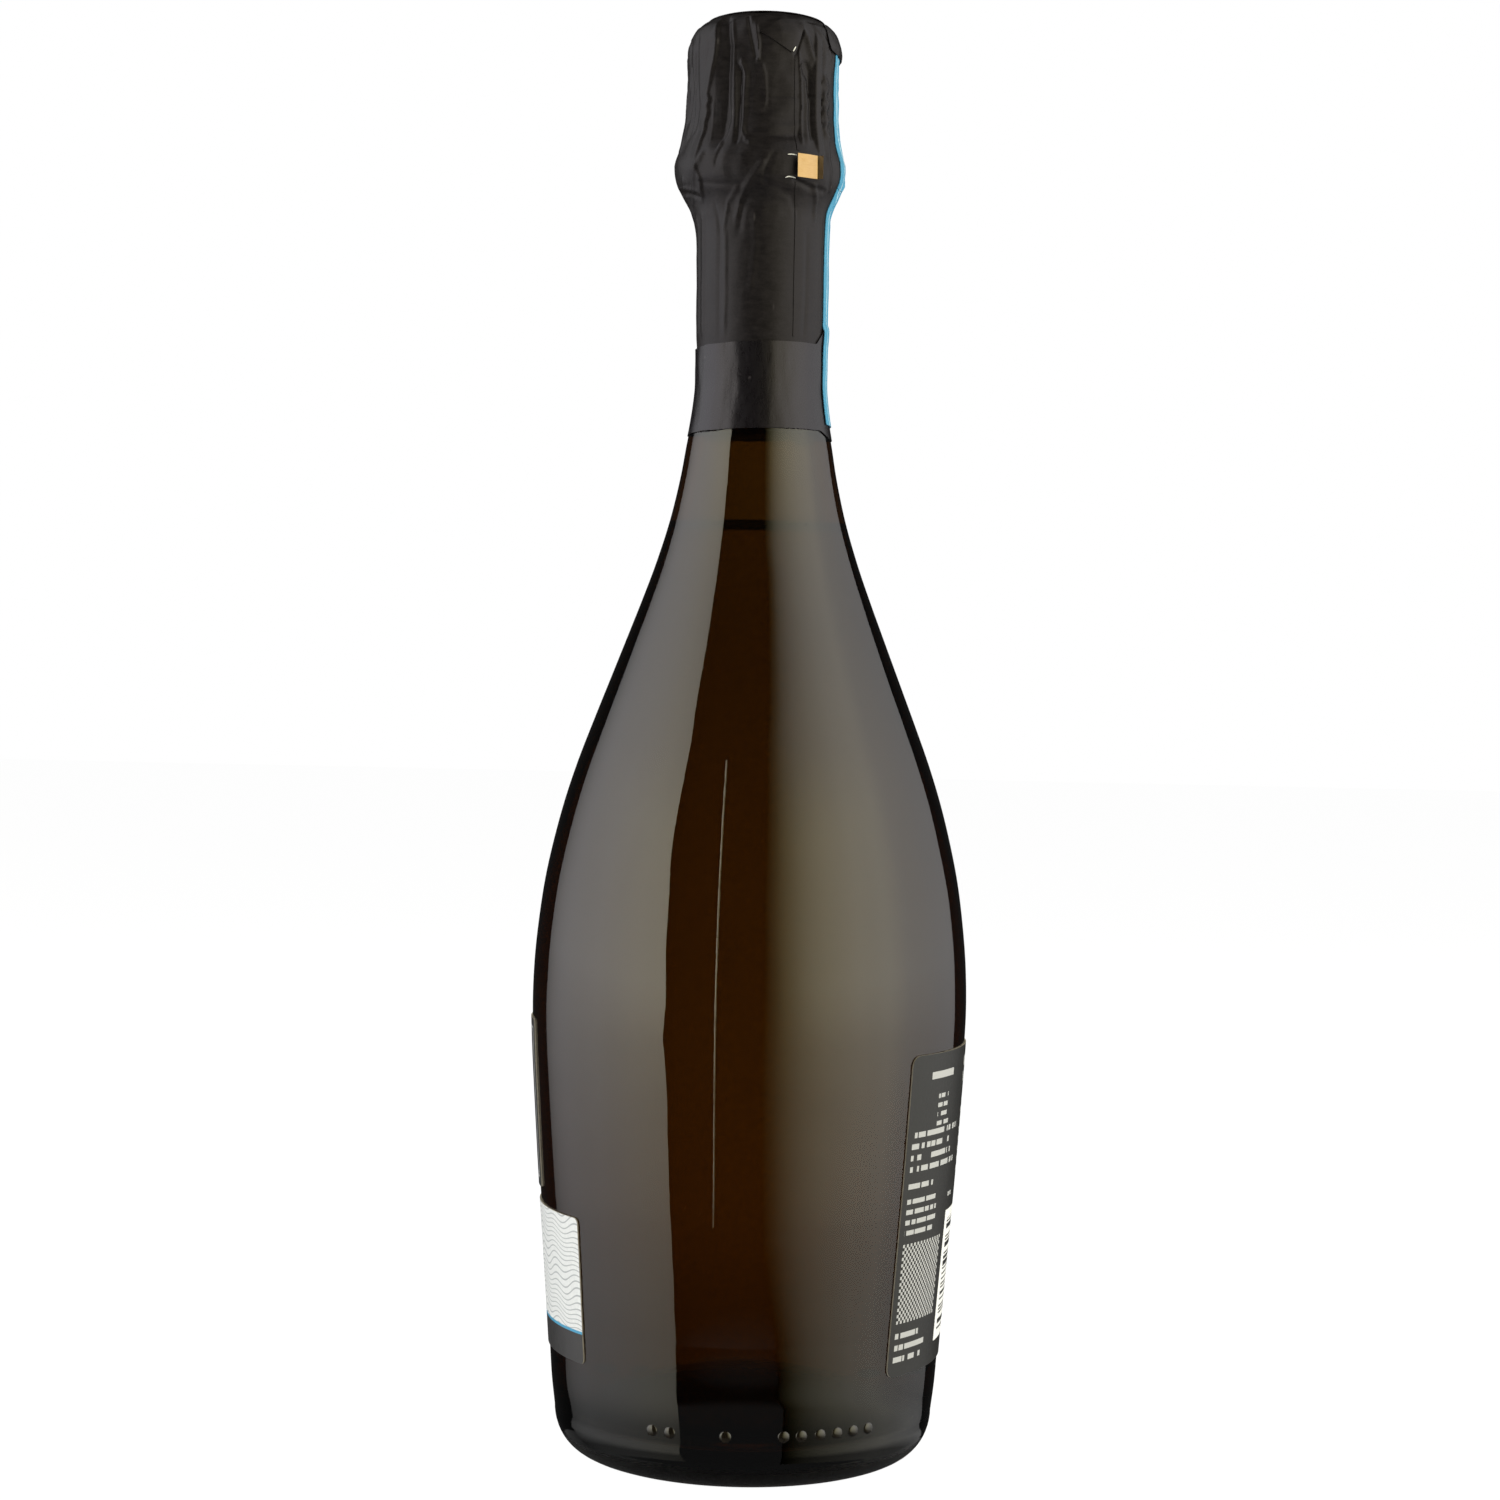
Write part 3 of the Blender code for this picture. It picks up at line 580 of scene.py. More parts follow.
def keep_flat_map(shape):
    """Store the flat place of each corner, in millimetres, as the piece's own map for its print."""
    layer = shape.loops.layers.uv.new("flat")
    for face in shape.faces:
        for loop in face.loops:
            loop[layer].uv = (loop.vert.co.x / MM, loop.vert.co.y / MM)


def bend(shape, middle, reach, radius_for):
    """Bend a flat sheet round the axis. reach is the radius that turns its width into an angle."""
    for spot in shape.verts:
        bearing = middle + spot.co.x / reach
        height = spot.co.y
        spot.co = towards(bearing, radius_for(bearing, height), height)
    face_out(shape)


print("a full turn has", TURN_STEPS, "steps")

# %% [markdown]
# ## The glass
# The bottle is thick dark amber glass, blown in a mould: a deep punt below, a long shoulder with no
# break in it, a string rim that the wire cage grips, and a rounded lip. It could be carved from a
# subdivided cylinder, but a spun outline gives the true wall between outside and cavity, and the wall
# is what makes thick glass dark at the rims. The outline runs up the outside and back down the inside.

# %% The bottle's outline
BODY_RADIUS = 0.0465
WIDEST_HEIGHT = 0.095
HEEL_RADIUS = 0.0404
HEEL_HEIGHT = 0.0088
RING_OUT = 0.0335
RING_IN = 0.0305
PUNT_DEPTH = 0.0158
FLOOR_THICKNESS = 0.0075
CAVITY_RISE = 0.0138
WALL = 0.0041
CAVITY_CORNER = 0.0095
NECK_BASE = (0.01295, 0.2260)
CAVITY_NECK = 0.0095
LOWER_BODY = ((0.0, 0.0), (0.12, 0.07), (0.22, 0.17), (0.43, 0.37), (0.65, 0.57), (0.84, 0.77), (0.95, 0.9))
SHOULDER = (
    (0.0, 0.0), (0.008, 0.07), (0.029, 0.13), (0.066, 0.2), (0.114, 0.26), (0.184, 0.33), (0.265, 0.395),
    (0.359, 0.46), (0.464, 0.53), (0.569, 0.6), (0.658, 0.66), (0.742, 0.72), (0.825, 0.79), (0.887, 0.86),
    (0.927, 0.92), (0.953, 0.95), (0.982, 0.975), (1.0, 1.0),
)
FINISH = in_mm(
    (13.0, 240.0), (13.1, 256.0), (13.2, 269.6), (13.5, 270.6), (15.0, 271.6), (15.5, 272.2), (15.6, 273.0),
    (15.6, 274.9), (15.3, 275.5), (14.2, 276.8), (13.6, 278.2), (13.7, 279.0), (14.05, 279.8), (14.1, 281.0),
    (14.1, 286.2), (13.95, 286.9), (13.5, 287.4), (12.9, 287.5),
)


def shares_between(start, end, shares):
    """Outline points between two corners, from radius and height shares."""
    wide, tall = end[0] - start[0], end[1] - start[1]
    return [(start[0] + wide * across, start[1] + tall * up) for across, up in shares]


def quarter(middle, width, height, steps):
    """A quarter ellipse round its middle, from straight up to straight out."""
    turns = [math.pi / 2 * step / steps for step in range(steps + 1)]
    return [(middle[0] + width * math.sin(turn), middle[1] + height * math.cos(turn)) for turn in turns]


def glass_outside():
    """The outer outline, from the standing ring up to the lip."""
    heel = quarter((RING_OUT, HEEL_HEIGHT), HEEL_RADIUS - RING_OUT, -HEEL_HEIGHT, 14)
    lower = shares_between((HEEL_RADIUS, HEEL_HEIGHT), (BODY_RADIUS, WIDEST_HEIGHT), LOWER_BODY)
    upper = shares_between((BODY_RADIUS, WIDEST_HEIGHT), NECK_BASE, SHOULDER)
    return [*heel[:-1], *smooth([*lower, *upper], 5), *smooth(FINISH, 3)]


def cavity():
    """The inside, from the middle of the punt's top up to the mouth."""
    foot = HEEL_RADIUS - WALL
    top = FLOOR_THICKNESS + CAVITY_CORNER
    punt = [(RING_IN * s / 12, FLOOR_THICKNESS + CAVITY_RISE * (1 - (s / 12) ** 2)) for s in range(12)]
    corner = quarter((RING_IN, top), foot - RING_IN, -CAVITY_CORNER, 10)
    lower = shares_between((foot, top), (BODY_RADIUS - WALL, WIDEST_HEIGHT), LOWER_BODY)
    upper = shares_between((BODY_RADIUS - WALL, WIDEST_HEIGHT), (CAVITY_NECK, NECK_BASE[1]), SHOULDER)
    bore = in_mm((8.9, 257.5), (8.9, 286.7), (9.1, 287.2), (9.7, 287.5))
    return [*punt, *corner[:-1], *smooth([*lower, *upper], 4), *bore]


def punt_below():
    """The underside, from the punt's top on the axis down to the standing ring."""
    dome = [(RING_IN * s / 12, PUNT_DEPTH * (1 - (s / 12) ** 2)) for s in range(12)]
    ring = in_mm((30.4, 0.12), (31.2, 0.0), (32.8, 0.0))
    return [*dome, *ring]


OUTSIDE = glass_outside()
print("glass outline has", len(OUTSIDE), "points outside and", len(cavity()), "inside")

# %% [markdown]
# Glass is a Principled shader with full transmission, and a volume inside it takes in light, so that
# thick parts are darker. A slow, weak bump keeps the mirrored panels from looking machine-straight, as
# mould-blown glass never is. A fine raised line on each side marks where the halves of the mould met,
# and scuffs up to the widest part show where bottles rub in their crates.

# %% Glass finish and the bottle
GLASS_COLOUR = (0.6, 0.5, 0.28, 1)
GLASS_PALE = (0.66, 0.56, 0.34, 1)
# Painted light and shade in the tint: darker in the shoulder and paler low in the body, setting how bright
# the glass looks there.
GLASS_PAINTED_SHADE = (0.46, 0.38, 0.2, 1)
GLASS_PAINTED_LIGHT = (0.76, 0.64, 0.36, 1)
GLASS_BODY = (0.58, 0.455, 0.015, 1)
GLASS_DENSITY = 800.0
BEARING_FACE = (0.0052, 0.0036)
SCUFFED = (0.104, 0.098)
PAINTED_LIGHT_SPAN = ((0.105, 0.05), (0.028, 0.05))
PAINTED_SHADE_SPAN = (0.115, 0.175)
SEAM_BEARING = math.radians(91.7)
SEAM_HALF = 0.0002
SEAM_RISE = 0.00007
SEAM_SPAN = ((0.151, 0.146), (0.046, 0.06))


def glass_colour(tree, spot, height):
    """Amber with slow streaks, with painted light that makes it paler low in the body and painted shade that
    makes it darker in the shoulder.
    """
    streak = use(tree, GRAIN, Vector=spot, Scale=22.0, Upright=0.25)
    body = toned(tree, streak, GLASS_COLOUR, GLASS_PALE, 0.5, 1.0)
    # Painted light: a paler tint low in the body. Painted shade: a darker tint in the shoulder.
    pale = times(tree, *[ranged(tree, height, *span) for span in PAINTED_LIGHT_SPAN])
    with_painted_light = mixed(tree, pale, body, GLASS_PAINTED_LIGHT)
    return mixed(tree, ranged(tree, height, *PAINTED_SHADE_SPAN), with_painted_light, GLASS_PAINTED_SHADE)


def mould_seam(tree, spot, height):
    """1 on the fine line where the mould's halves met, fading out towards its ends."""
    plane = (math.cos(SEAM_BEARING), math.sin(SEAM_BEARING), 0)
    away = add(tree, "VectorMath", {0: spot, 1: plane}, operation="DOT_PRODUCT").outputs["Value"]
    line = ranged(tree, maths(tree, "ABSOLUTE", away), SEAM_HALF, 0.0)
    return times(tree, line, times(tree, *[ranged(tree, height, *span) for span in SEAM_SPAN]))


def glass_finish(name):
    """Dark amber glass with slow waves, faint scuffs, and fine stipple on the bearing surface."""
    made, tree, shader = finish(name, IOR=1.5, Transmission_Weight=1.0, Roughness=0.0)
    spot = place_in(tree)
    height = add(tree, "SeparateXYZ", {0: spot}).outputs[2]
    paint(tree, shader, glass_colour(tree, spot, height))
    slow = add(tree, "TexNoise", {"Vector": spot, "Scale": 30.0, "Detail": 1.0}).outputs[0]
    waves = bump(tree, shader, times(tree, slow, ranged(tree, height, 0.03, 0.055)), 0.0003)
    ridged = bump(tree, shader, mould_seam(tree, spot, height), SEAM_RISE, waves)
    low = ranged(tree, height, *BEARING_FACE)
    stipple = use(tree, GRAIN, Vector=spot, Scale=1500.0, Upright=1.0)
    bump(tree, shader, times(tree, stipple, low), 0.0002, ridged)
    scuffs = use(tree, SPECKS, Vector=spot, Scale=700.0, Amount=0.03, Size=0.3)
    rub = times(tree, scuffs, ranged(tree, height, *SCUFFED))
    rough = maths(tree, "MAXIMUM", times(tree, rub, 0.18), times(tree, low, 0.35))
    plug(tree, shader.inputs["Roughness"], rough)
    inside = add(tree, "VolumeAbsorption", {"Color": GLASS_BODY, "Density": GLASS_DENSITY})
    tree.links.new(inside.outputs[0], tree.nodes["Material Output"].inputs["Volume"])
    return made


def make_glass():
    """The bottle itself, spun as one closed wall."""
    shape = turned([*punt_below(), *OUTSIDE, *cavity()[::-1]])
    look = glass_finish("amber_glass")
    return piece("bottle_glass", shape, "bottle", [look], ["glass_bottle"], sharp=50)


make_glass()

# %% [markdown]
# Round the heel the mould leaves a row of small raised dots and, on the bearing surface, a ring of short
# ribs that lets the bottle slide on a conveyor. Dents in the glass mesh would need a very fine mesh
# everywhere, so each dot is a low cap of its own, set on the surface, and one rib is spun in copies.

# %% Heel dots and bearing ribs
DOT_BEARINGS = (73.4, 79, 95.3, 111.9, 117.1, 122.8, 128.2, 133.6, 139.1)
DOT_HEIGHT = 0.0119
DOT_RADIUS = 0.00125
DOT_RISE = 0.00045
DOT_SINK = 0.00003
RIB_COUNT = 120
RIB_SIZE = (0.0007, 0.0042, 0.0008)
RIB_MIDDLE = (0.0, -0.0334, 0.00085)
RIB_TILT = math.radians(-8)
# Glass this thick only mirrors: near black with a wet gloss.
THICK_TONES = ((0.004, 0.003, 0.002, 1), (0.012, 0.009, 0.005, 1))
THICK_PLAIN = {"IOR": 1.5, "Roughness": 0.06}
THICK_GLASS = grained("thick_amber_glass", 300.0, 1.0, THICK_TONES, (0.5, 1.0), depth=0.00002, **THICK_PLAIN)


def make_dots():
    """Low round caps in a row on the heel, repeated on the far side."""
    shape = bmesh.new()
    radius = radius_at(OUTSIDE, DOT_HEIGHT)
    for bearing in [*DOT_BEARINGS, *[spot + 180 for spot in DOT_BEARINGS]]:
        made = bmesh.ops.create_uvsphere(shape, u_segments=16, v_segments=10, radius=DOT_RADIUS)
        out = towards(math.radians(bearing), 1, 0)
        turn = out.to_track_quat("Z", "Y").to_matrix().to_4x4()
        flat = Matrix.Diagonal((1, 1, DOT_RISE / DOT_RADIUS, 1))
        move = Matrix.Translation(towards(math.radians(bearing), radius - DOT_SINK, DOT_HEIGHT))
        bmesh.ops.transform(shape, matrix=move @ turn @ flat, verts=made["verts"])
    return piece("heel_dots", shape, "bottle", [THICK_GLASS])


def make_ribs():
    """Short radial ribs under the bearing surface, one of them spun round in copies."""
    shape = bmesh.new()
    made = bmesh.ops.create_cube(shape, size=1)
    bar = Matrix.Translation(RIB_MIDDLE) @ Matrix.Rotation(RIB_TILT, 4, "X")
    bmesh.ops.transform(shape, matrix=bar @ Matrix.Diagonal((*RIB_SIZE, 1)), verts=made["verts"])
    edges = {"offset": 0.0002, "segments": 2, "profile": 0.5, "affect": "EDGES", "material": -1}
    bmesh.ops.bevel(shape, geom=shape.edges[:], **edges)
    copies = {"steps": RIB_COUNT - 1, "angle": math.tau * (RIB_COUNT - 1) / RIB_COUNT, "use_duplicate": True}
    parts = shape.verts[:] + shape.edges[:] + shape.faces[:]
    bmesh.ops.spin(shape, geom=parts, axis=(0, 0, 1), cent=(0, 0, 0), use_merge=False, **copies)
    return piece("bearing_ribs", shape, "bottle", [THICK_GLASS])


make_dots()
make_ribs()

# %% [markdown]
# ## The wine
# Wine is a clear pale gold liquid that fills the cavity up to a level in the shoulder. There it climbs
# the wall a little. Its surface there, the steep rim too, gets an opaque near-black finish: painted shade
# for the dark line that the level shows, as it only mirrors the unlit inside.
# If the liquid stopped short of the glass, a film of air would show as a bright line, so its outline is
# set a tenth of a millimetre into the wall.

# %% Wine
MENISCUS = in_mm(
    (0, 194.9), (10.0, 194.9), (11.6, 194.95), (12.8, 195.1), (13.8, 195.4), (14.5, 195.85), (14.95, 196.4),
    (15.25, 196.95), (15.4, 197.4),
)
OVERLAP = 0.0001
WINE_TONES = ((0.86, 0.78, 0.5, 1), (0.9, 0.83, 0.56, 1))
WINE_PLAIN = {"IOR": 1.34, "Transmission_Weight": 1.0, "Roughness": 0.0}
# Painted shade: the wine's level and its rim get an opaque near-black skin in place of clear liquid, for the
# dark line there.
WINE_PAINTED_SHADE_TONES = ((0.002, 0.001, 0.0005, 1), (0.006, 0.003, 0.001, 1))
WINE_PAINTED_SHADE_PLAIN = {"IOR": 1.34, "Roughness": 0.04, "Specular_IOR_Level": 0.1}
INWARD = 0.004


def make_wine():
    """The liquid, from the punt up to its level, with painted shade: an opaque near-black skin where the
    level's surface faces up or inwards.
    """
    level = MENISCUS[-1][1]
    inside = [(radius, height) for radius, height in cavity() if height < level]
    punt = [(radius, height - OVERLAP) for radius, height in inside[:12]]
    wall = [(radius + OVERLAP, height) for radius, height in inside[12:]]
    edge = (radius_at([point for point in cavity() if point[1] > WIDEST_HEIGHT], level) + OVERLAP, level)
    shape = turned([*punt, *wall, edge, *MENISCUS[-2::-1]])
    # Faces of the level that look up or inwards get the second finish, the painted shade.
    for face in shape.faces:
        middle = face.calc_center_median()
        inward = face.normal.dot(middle * Vector((1, 1, 0)).normalized()) < INWARD
        if middle.z > MENISCUS[0][1] - OVERLAP and face.normal.z > 0 and inward:
            face.material_index = 1
    gold = grained("wine_gold", 18.0, 1.0, WINE_TONES, **WINE_PLAIN)
    rim = grained("wine_level_painted_shade", 180.0, 1.0, WINE_PAINTED_SHADE_TONES, **WINE_PAINTED_SHADE_PLAIN)
    return piece("wine_fill", shape, "bottle", [gold, rim], ["wine"], sharp=60)


make_wine()

# %% [markdown]
# ## Printed labels
# Three paper labels are glued to the glass. Their print is generic: rows of plain bars, a grid of
# square cells and a striped white panel. Print could be cut as thin geometry, but ink has no
# thickness, so masks in the material draw it from the flat map that each label kept when it was bent.
# One group draws rows of bars, another a grid of cells.

# %% Groups for print


def window(tree, value, low, high):
    """1 where a value lies between two others."""
    return times(tree, maths(tree, "GREATER_THAN", value, low), maths(tree, "LESS_THAN", value, high))


def make_bar_rows():
    """Rows of short bars, counted down from the first row's top, with ragged ends."""
    takes = {"Vector": None, "Left": 0.0, "Right": 20.0, "Top": 60.0, "Pitch": 2.4, "Rows": 4.0,
             "Bar": 1.2, "Length": 2.6, "Seed": 0.0}
    group, given, out = new_group("bar_rows", takes, ["Mask"])
    left, right, pitch = given["Left"], given["Right"], given["Pitch"]
    across, up, _ = add(group, "SeparateXYZ", {0: given["Vector"]}).outputs
    turns = maths(group, "DIVIDE", maths(group, "SUBTRACT", given["Top"], up), pitch)
    within = times(group, maths(group, "FRACT", turns), pitch)
    inked = maths(group, "LESS_THAN", within, given["Bar"])
    counted = window(group, turns, 0.0, given["Rows"])
    key = maths(group, "MULTIPLY_ADD", maths(group, "FLOOR", turns), 7.31, given["Seed"])
    along = maths(group, "DIVIDE", maths(group, "SUBTRACT", across, left), given["Length"])
    at = add(group, "CombineXYZ", {0: along, 1: key, 2: 0.0}).outputs[0]
    gaps = add(group, "TexNoise", {"Vector": at, "Scale": 1.9, "Detail": 0.0}, noise_dimensions="2D")
    solid = maths(group, "GREATER_THAN", gaps.outputs[0], 0.35)
    flat_key = add(group, "CombineXYZ", {0: 0.5, 1: key, 2: 3.0}).outputs[0]
    ragged = add(group, "TexWhiteNoise", {"Vector": flat_key}, noise_dimensions="3D").outputs[0]
    width = maths(group, "SUBTRACT", right, left)
    last = maths(group, "MULTIPLY_ADD", times(group, ragged, -0.3), width, right)
    held_in = window(group, across, left, last)
    plug(group, out["Mask"], times(group, times(group, inked, counted), times(group, solid, held_in)))
    return group


def make_cell_grid():
    """A square of plain cells, dark and light by turns, on a light panel."""
    takes = {"Vector": None, "Left": 0.0, "Low": 0.0, "Size": 16.5, "Cells": 21.0}
    group, given, out = new_group("cell_grid", takes, ["Panel", "Ink"])
    across, up, _ = add(group, "SeparateXYZ", {0: given["Vector"]}).outputs
    spots = [
        maths(group, "DIVIDE", maths(group, "SUBTRACT", value, start), given["Size"])
        for value, start in ((across, given["Left"]), (up, given["Low"]))
    ]
    panel = times(group, *[window(group, spot, 0.0, 1.0) for spot in spots])
    cells = [maths(group, "FLOOR", times(group, spot, given["Cells"])) for spot in spots]
    even = maths(group, "MODULO", maths(group, "ADD", *cells), 2.0)
    plug(group, out["Panel"], panel)
    plug(group, out["Ink"], times(group, panel, even))
    return group


BAR_ROWS = make_bar_rows()
CELL_GRID = make_cell_grid()


def box_mask(tree, across, up, left, right, low, high):
    """1 inside a rectangle of the flat map."""
    return times(tree, window(tree, across, left, right), window(tree, up, low, high))


def flat_place(tree):
    """The flat map of a label: the vector, and its parts in millimetres."""
    flat = add(tree, "UVMap", uv_map="flat").outputs[0]
    across, up, _ = add(tree, "SeparateXYZ", {0: flat}).outputs
    return flat, across, up


print("print groups:", BAR_ROWS.name, CELL_GRID.name)

# %% [markdown]
# The back label is charcoal paper with white print, the upper front label plain black with a fine
# silver rule, and the lower one near-white with fine grey waves, a blue line and a black foot. Coated
# paper has a soft sheen and a fine fibre grain, and its cut edge shows pale.

# %% Paper finishes
PAPER_GRAIN = 1400.0
CUT_TONES = (linear(176, 168, 150), linear(140, 134, 122))
RULES = ((1.8, 0.35), (2.7, 0.15))
RULED_MIDDLE = 74.15
RULED_HALF = (19.4, 17.8)
WAVE_PITCH = 1.15
BLUE_TOP = 29.3
FOOT_TOP = 28.7
# Each block of rows: left, right, top, pitch, rows, bar height, bar length and seed.
BAR_BLOCKS = (
    (-19.5, -7.5, 84.2, 3.0, 1, 1.5, 9.0, 5), (-16.0, -10.0, 79.4, 1.9, 4, 0.9, 3.6, 23),
    (-24.9, -2.5, 72.2, 2.35, 4, 1.15, 2.4, 11), (-24.9, -14.0, 61.6, 2.3, 1, 1.1, 2.4, 5),
    (-24.9, -9.5, 58.4, 2.15, 4, 1.0, 2.0, 17), (-24.9, -12.5, 30.6, 2.45, 3, 1.15, 2.0, 29),
    (1.0, 22.5, 85.5, 3.4, 2, 2.1, 4.0, 31), (2.5, 23.0, 76.5, 2.1, 8, 1.05, 2.5, 41),
    (-5.3, -1.2, 57.5, 1.9, 1, 0.9, 1.9, 47), (14.0, 23.0, 54.0, 2.1, 12, 1.0, 2.2, 53),
)
GRID_PLACE = {"Left": -24.9, "Low": 32.6, "Size": 16.5, "Cells": 25.0}
STRIPE_PANEL = (-5.6, 12.4, 26.0, 53.6)
STRIPES = (-3.4, 9.5, 28.0, 51.6)
STRIPE_STEP = 0.36


def paper_base(name, roughness):
    """Coated paper: the material, its tree, its shader and a grain for its tone."""
    made, tree, shader = finish(name, Roughness=roughness, IOR=1.45)
    grain = use(tree, GRAIN, Vector=place_in(tree), Scale=PAPER_GRAIN, Upright=1.0)
    bump(tree, shader, grain, 0.00002)
    rough = ranged(tree, grain, 0.4, 1.1, roughness - 0.06, roughness + 0.08)
    plug(tree, shader.inputs["Roughness"], rough)
    return made, tree, shader, grain


def edge_paper():
    """The pale cut edge of the paper."""
    made, tree, shader, grain = paper_base("paper_cut_edge", 0.7)
    paint(tree, shader, toned(tree, grain, *CUT_TONES))
    return made


def black_paper():
    """Black label paper with a double silver rule near its edge."""
    made, tree, shader, grain = paper_base("black_label_paper", 0.42)
    _, across, up = flat_place(tree)
    side = maths(tree, "ABSOLUTE", across)
    middle = maths(tree, "ABSOLUTE", maths(tree, "SUBTRACT", up, RULED_MIDDLE))

    def within(inset):
        parts = zip((side, middle), RULED_HALF)
        return times(tree, *[maths(tree, "LESS_THAN", part, half - inset) for part, half in parts])

    rings = [maths(tree, "SUBTRACT", within(inset), within(inset + wide)) for inset, wide in RULES]
    ground = toned(tree, grain, linear(30, 29, 31), linear(42, 41, 43))
    paint(tree, shader, mixed(tree, maths(tree, "MAXIMUM", *rings), ground, linear(176, 178, 182)))
    return made


def silver_paper():
    """Near-white label with fine even waves, a blue line and a black foot."""
    made, tree, shader, grain = paper_base("silver_label_paper", 0.4)
    _, across, up = flat_place(tree)
    swell = maths(tree, "SINE", times(tree, across, 0.62))
    second = maths(tree, "SINE", maths(tree, "MULTIPLY_ADD", up, 0.42, times(tree, across, 0.17)))
    lifted = maths(tree, "MULTIPLY_ADD", swell, 0.55, maths(tree, "MULTIPLY_ADD", second, 0.7, up))
    phase = maths(tree, "FRACT", maths(tree, "DIVIDE", lifted, WAVE_PITCH))
    from_line = maths(tree, "ABSOLUTE", maths(tree, "SUBTRACT", phase, 0.5))
    ground = toned(tree, grain, linear(200, 203, 206), linear(218, 220, 222))
    foot = toned(tree, grain, linear(38, 37, 39), linear(52, 51, 53))
    colour = ground
    grey, blue = linear(158, 163, 168), linear(60, 140, 178)
    for value, edge, ink in ((from_line, 0.11, grey), (up, BLUE_TOP, blue), (up, FOOT_TOP, foot)):
        colour = mixed(tree, maths(tree, "LESS_THAN", value, edge), colour, ink)
    paint(tree, shader, colour)
    return made


def back_paper():
    """Charcoal back label: rows of bars, a plain grid and a striped white panel."""
    made, tree, shader, grain = paper_base("back_label_print", 0.4)
    shader.inputs["Specular IOR Level"].default_value = 0.22
    flat, across, up = flat_place(tree)
    titles = ("Left", "Right", "Top", "Pitch", "Rows", "Bar", "Length")
    ink = 0.0
    for *sizes, seed in BAR_BLOCKS:
        plugs = {title: float(size) for title, size in zip(titles, sizes)}
        mask = use(tree, BAR_ROWS, Vector=flat, Seed=seed + 0.37, **plugs)
        ink = maths(tree, "MAXIMUM", ink, mask)
    ground = mixed(tree, ranged(tree, across, -24.0, 4.0), linear(42, 42, 43), linear(29, 29, 29))
    speckled = mixed(tree, times(tree, ranged(tree, grain, 0.5, 1.2), 0.2), ground, linear(60, 60, 60))
    squares = placed(tree, CELL_GRID, Vector=flat, **GRID_PLACE)
    steps = add(tree, "CombineXYZ", {0: 0.0, 1: maths(tree, "SNAP", up, STRIPE_STEP), 2: 0.0}).outputs[0]
    bars = add(tree, "TexNoise", {"Vector": steps, "Scale": 3.1, "Detail": 0.0}).outputs[0]
    stripe = times(tree, maths(tree, "GREATER_THAN", bars, 0.5), box_mask(tree, across, up, *STRIPES))
    panel = box_mask(tree, across, up, *STRIPE_PANEL)
    pale = linear(172, 173, 174)
    inks = (
        (ink, pale), (squares["Panel"], pale), (squares["Ink"], linear(34, 34, 34)),
        (panel, linear(232, 233, 234)), (stripe, linear(40, 40, 42)),
    )
    colour = speckled
    for mask, tint in inks:
        colour = mixed(tree, mask, colour, tint)
    paint(tree, shader, colour)
    return made


EDGE_PAPER = edge_paper()
print("paper finishes ready")

# %% Cut and bend the labels
LABEL_GAP = 0.00004
LABEL_THICKNESS = 0.0003
LABEL_ROW = 0.003
# Each label: piece, CAD node, slot and look, then its middle and half width in degrees, its low and high
# edge, its corner, and how far it slants.
LABELS = (
    ("label_front_upper", "front_label_upper", "black_label", black_paper(),
     (0, 24, 0.0563, 0.0920, 0.0012, 0)),
    ("label_front_lower", "front_label_lower", "silver_label", silver_paper(),
     (0, 48.5, 0.0225, 0.0529, 0.0012, 0)),
    ("label_back", "back_label", "back_label_paper", back_paper(),
     (179, 32.7, 0.0215, 0.0880, 0.0022, 0.022)),
)


def make_label(name, node, slot, ink, sizes):
    """A paper label on the glass, with round corners and its own cut edge."""
    middle, half, low, high, corner, slant = sizes
    width = 2 * math.radians(half) * BODY_RADIUS
    shape = cut_flat(width, low, high, corner, math.ceil(half), math.ceil((high - low) / LABEL_ROW))
    keep_flat_map(shape)
    for spot in shape.verts:
        spot.co.x -= slant * (high - spot.co.y)
    bend(shape, math.radians(middle), BODY_RADIUS, lambda _, up: radius_at(OUTSIDE, up) + LABEL_GAP)
    made = piece(name, shape, "bottle", [ink, EDGE_PAPER], [node])
    return thicken(made, LABEL_THICKNESS, True, rim=1)


for label in LABELS:
    make_label(*label)

# %% [markdown]
# ## The foil
# The capsule is thin lacquered foil, spun down over the wired cork by rollers and then creased by
# hand. It has four parts: the crown that lifts away, a tear strip between two lines of perforation,
# the top disc, and the skirt that stays on the neck. All of them follow one relief, so that a crease
# runs on from part to part. The relief is a list of creases, each a line of bearings and heights with
# a depth and a width, plus slow dents and, on the sides that the photograph doesn't show, creases of
# the same kind placed by a seeded random choice.

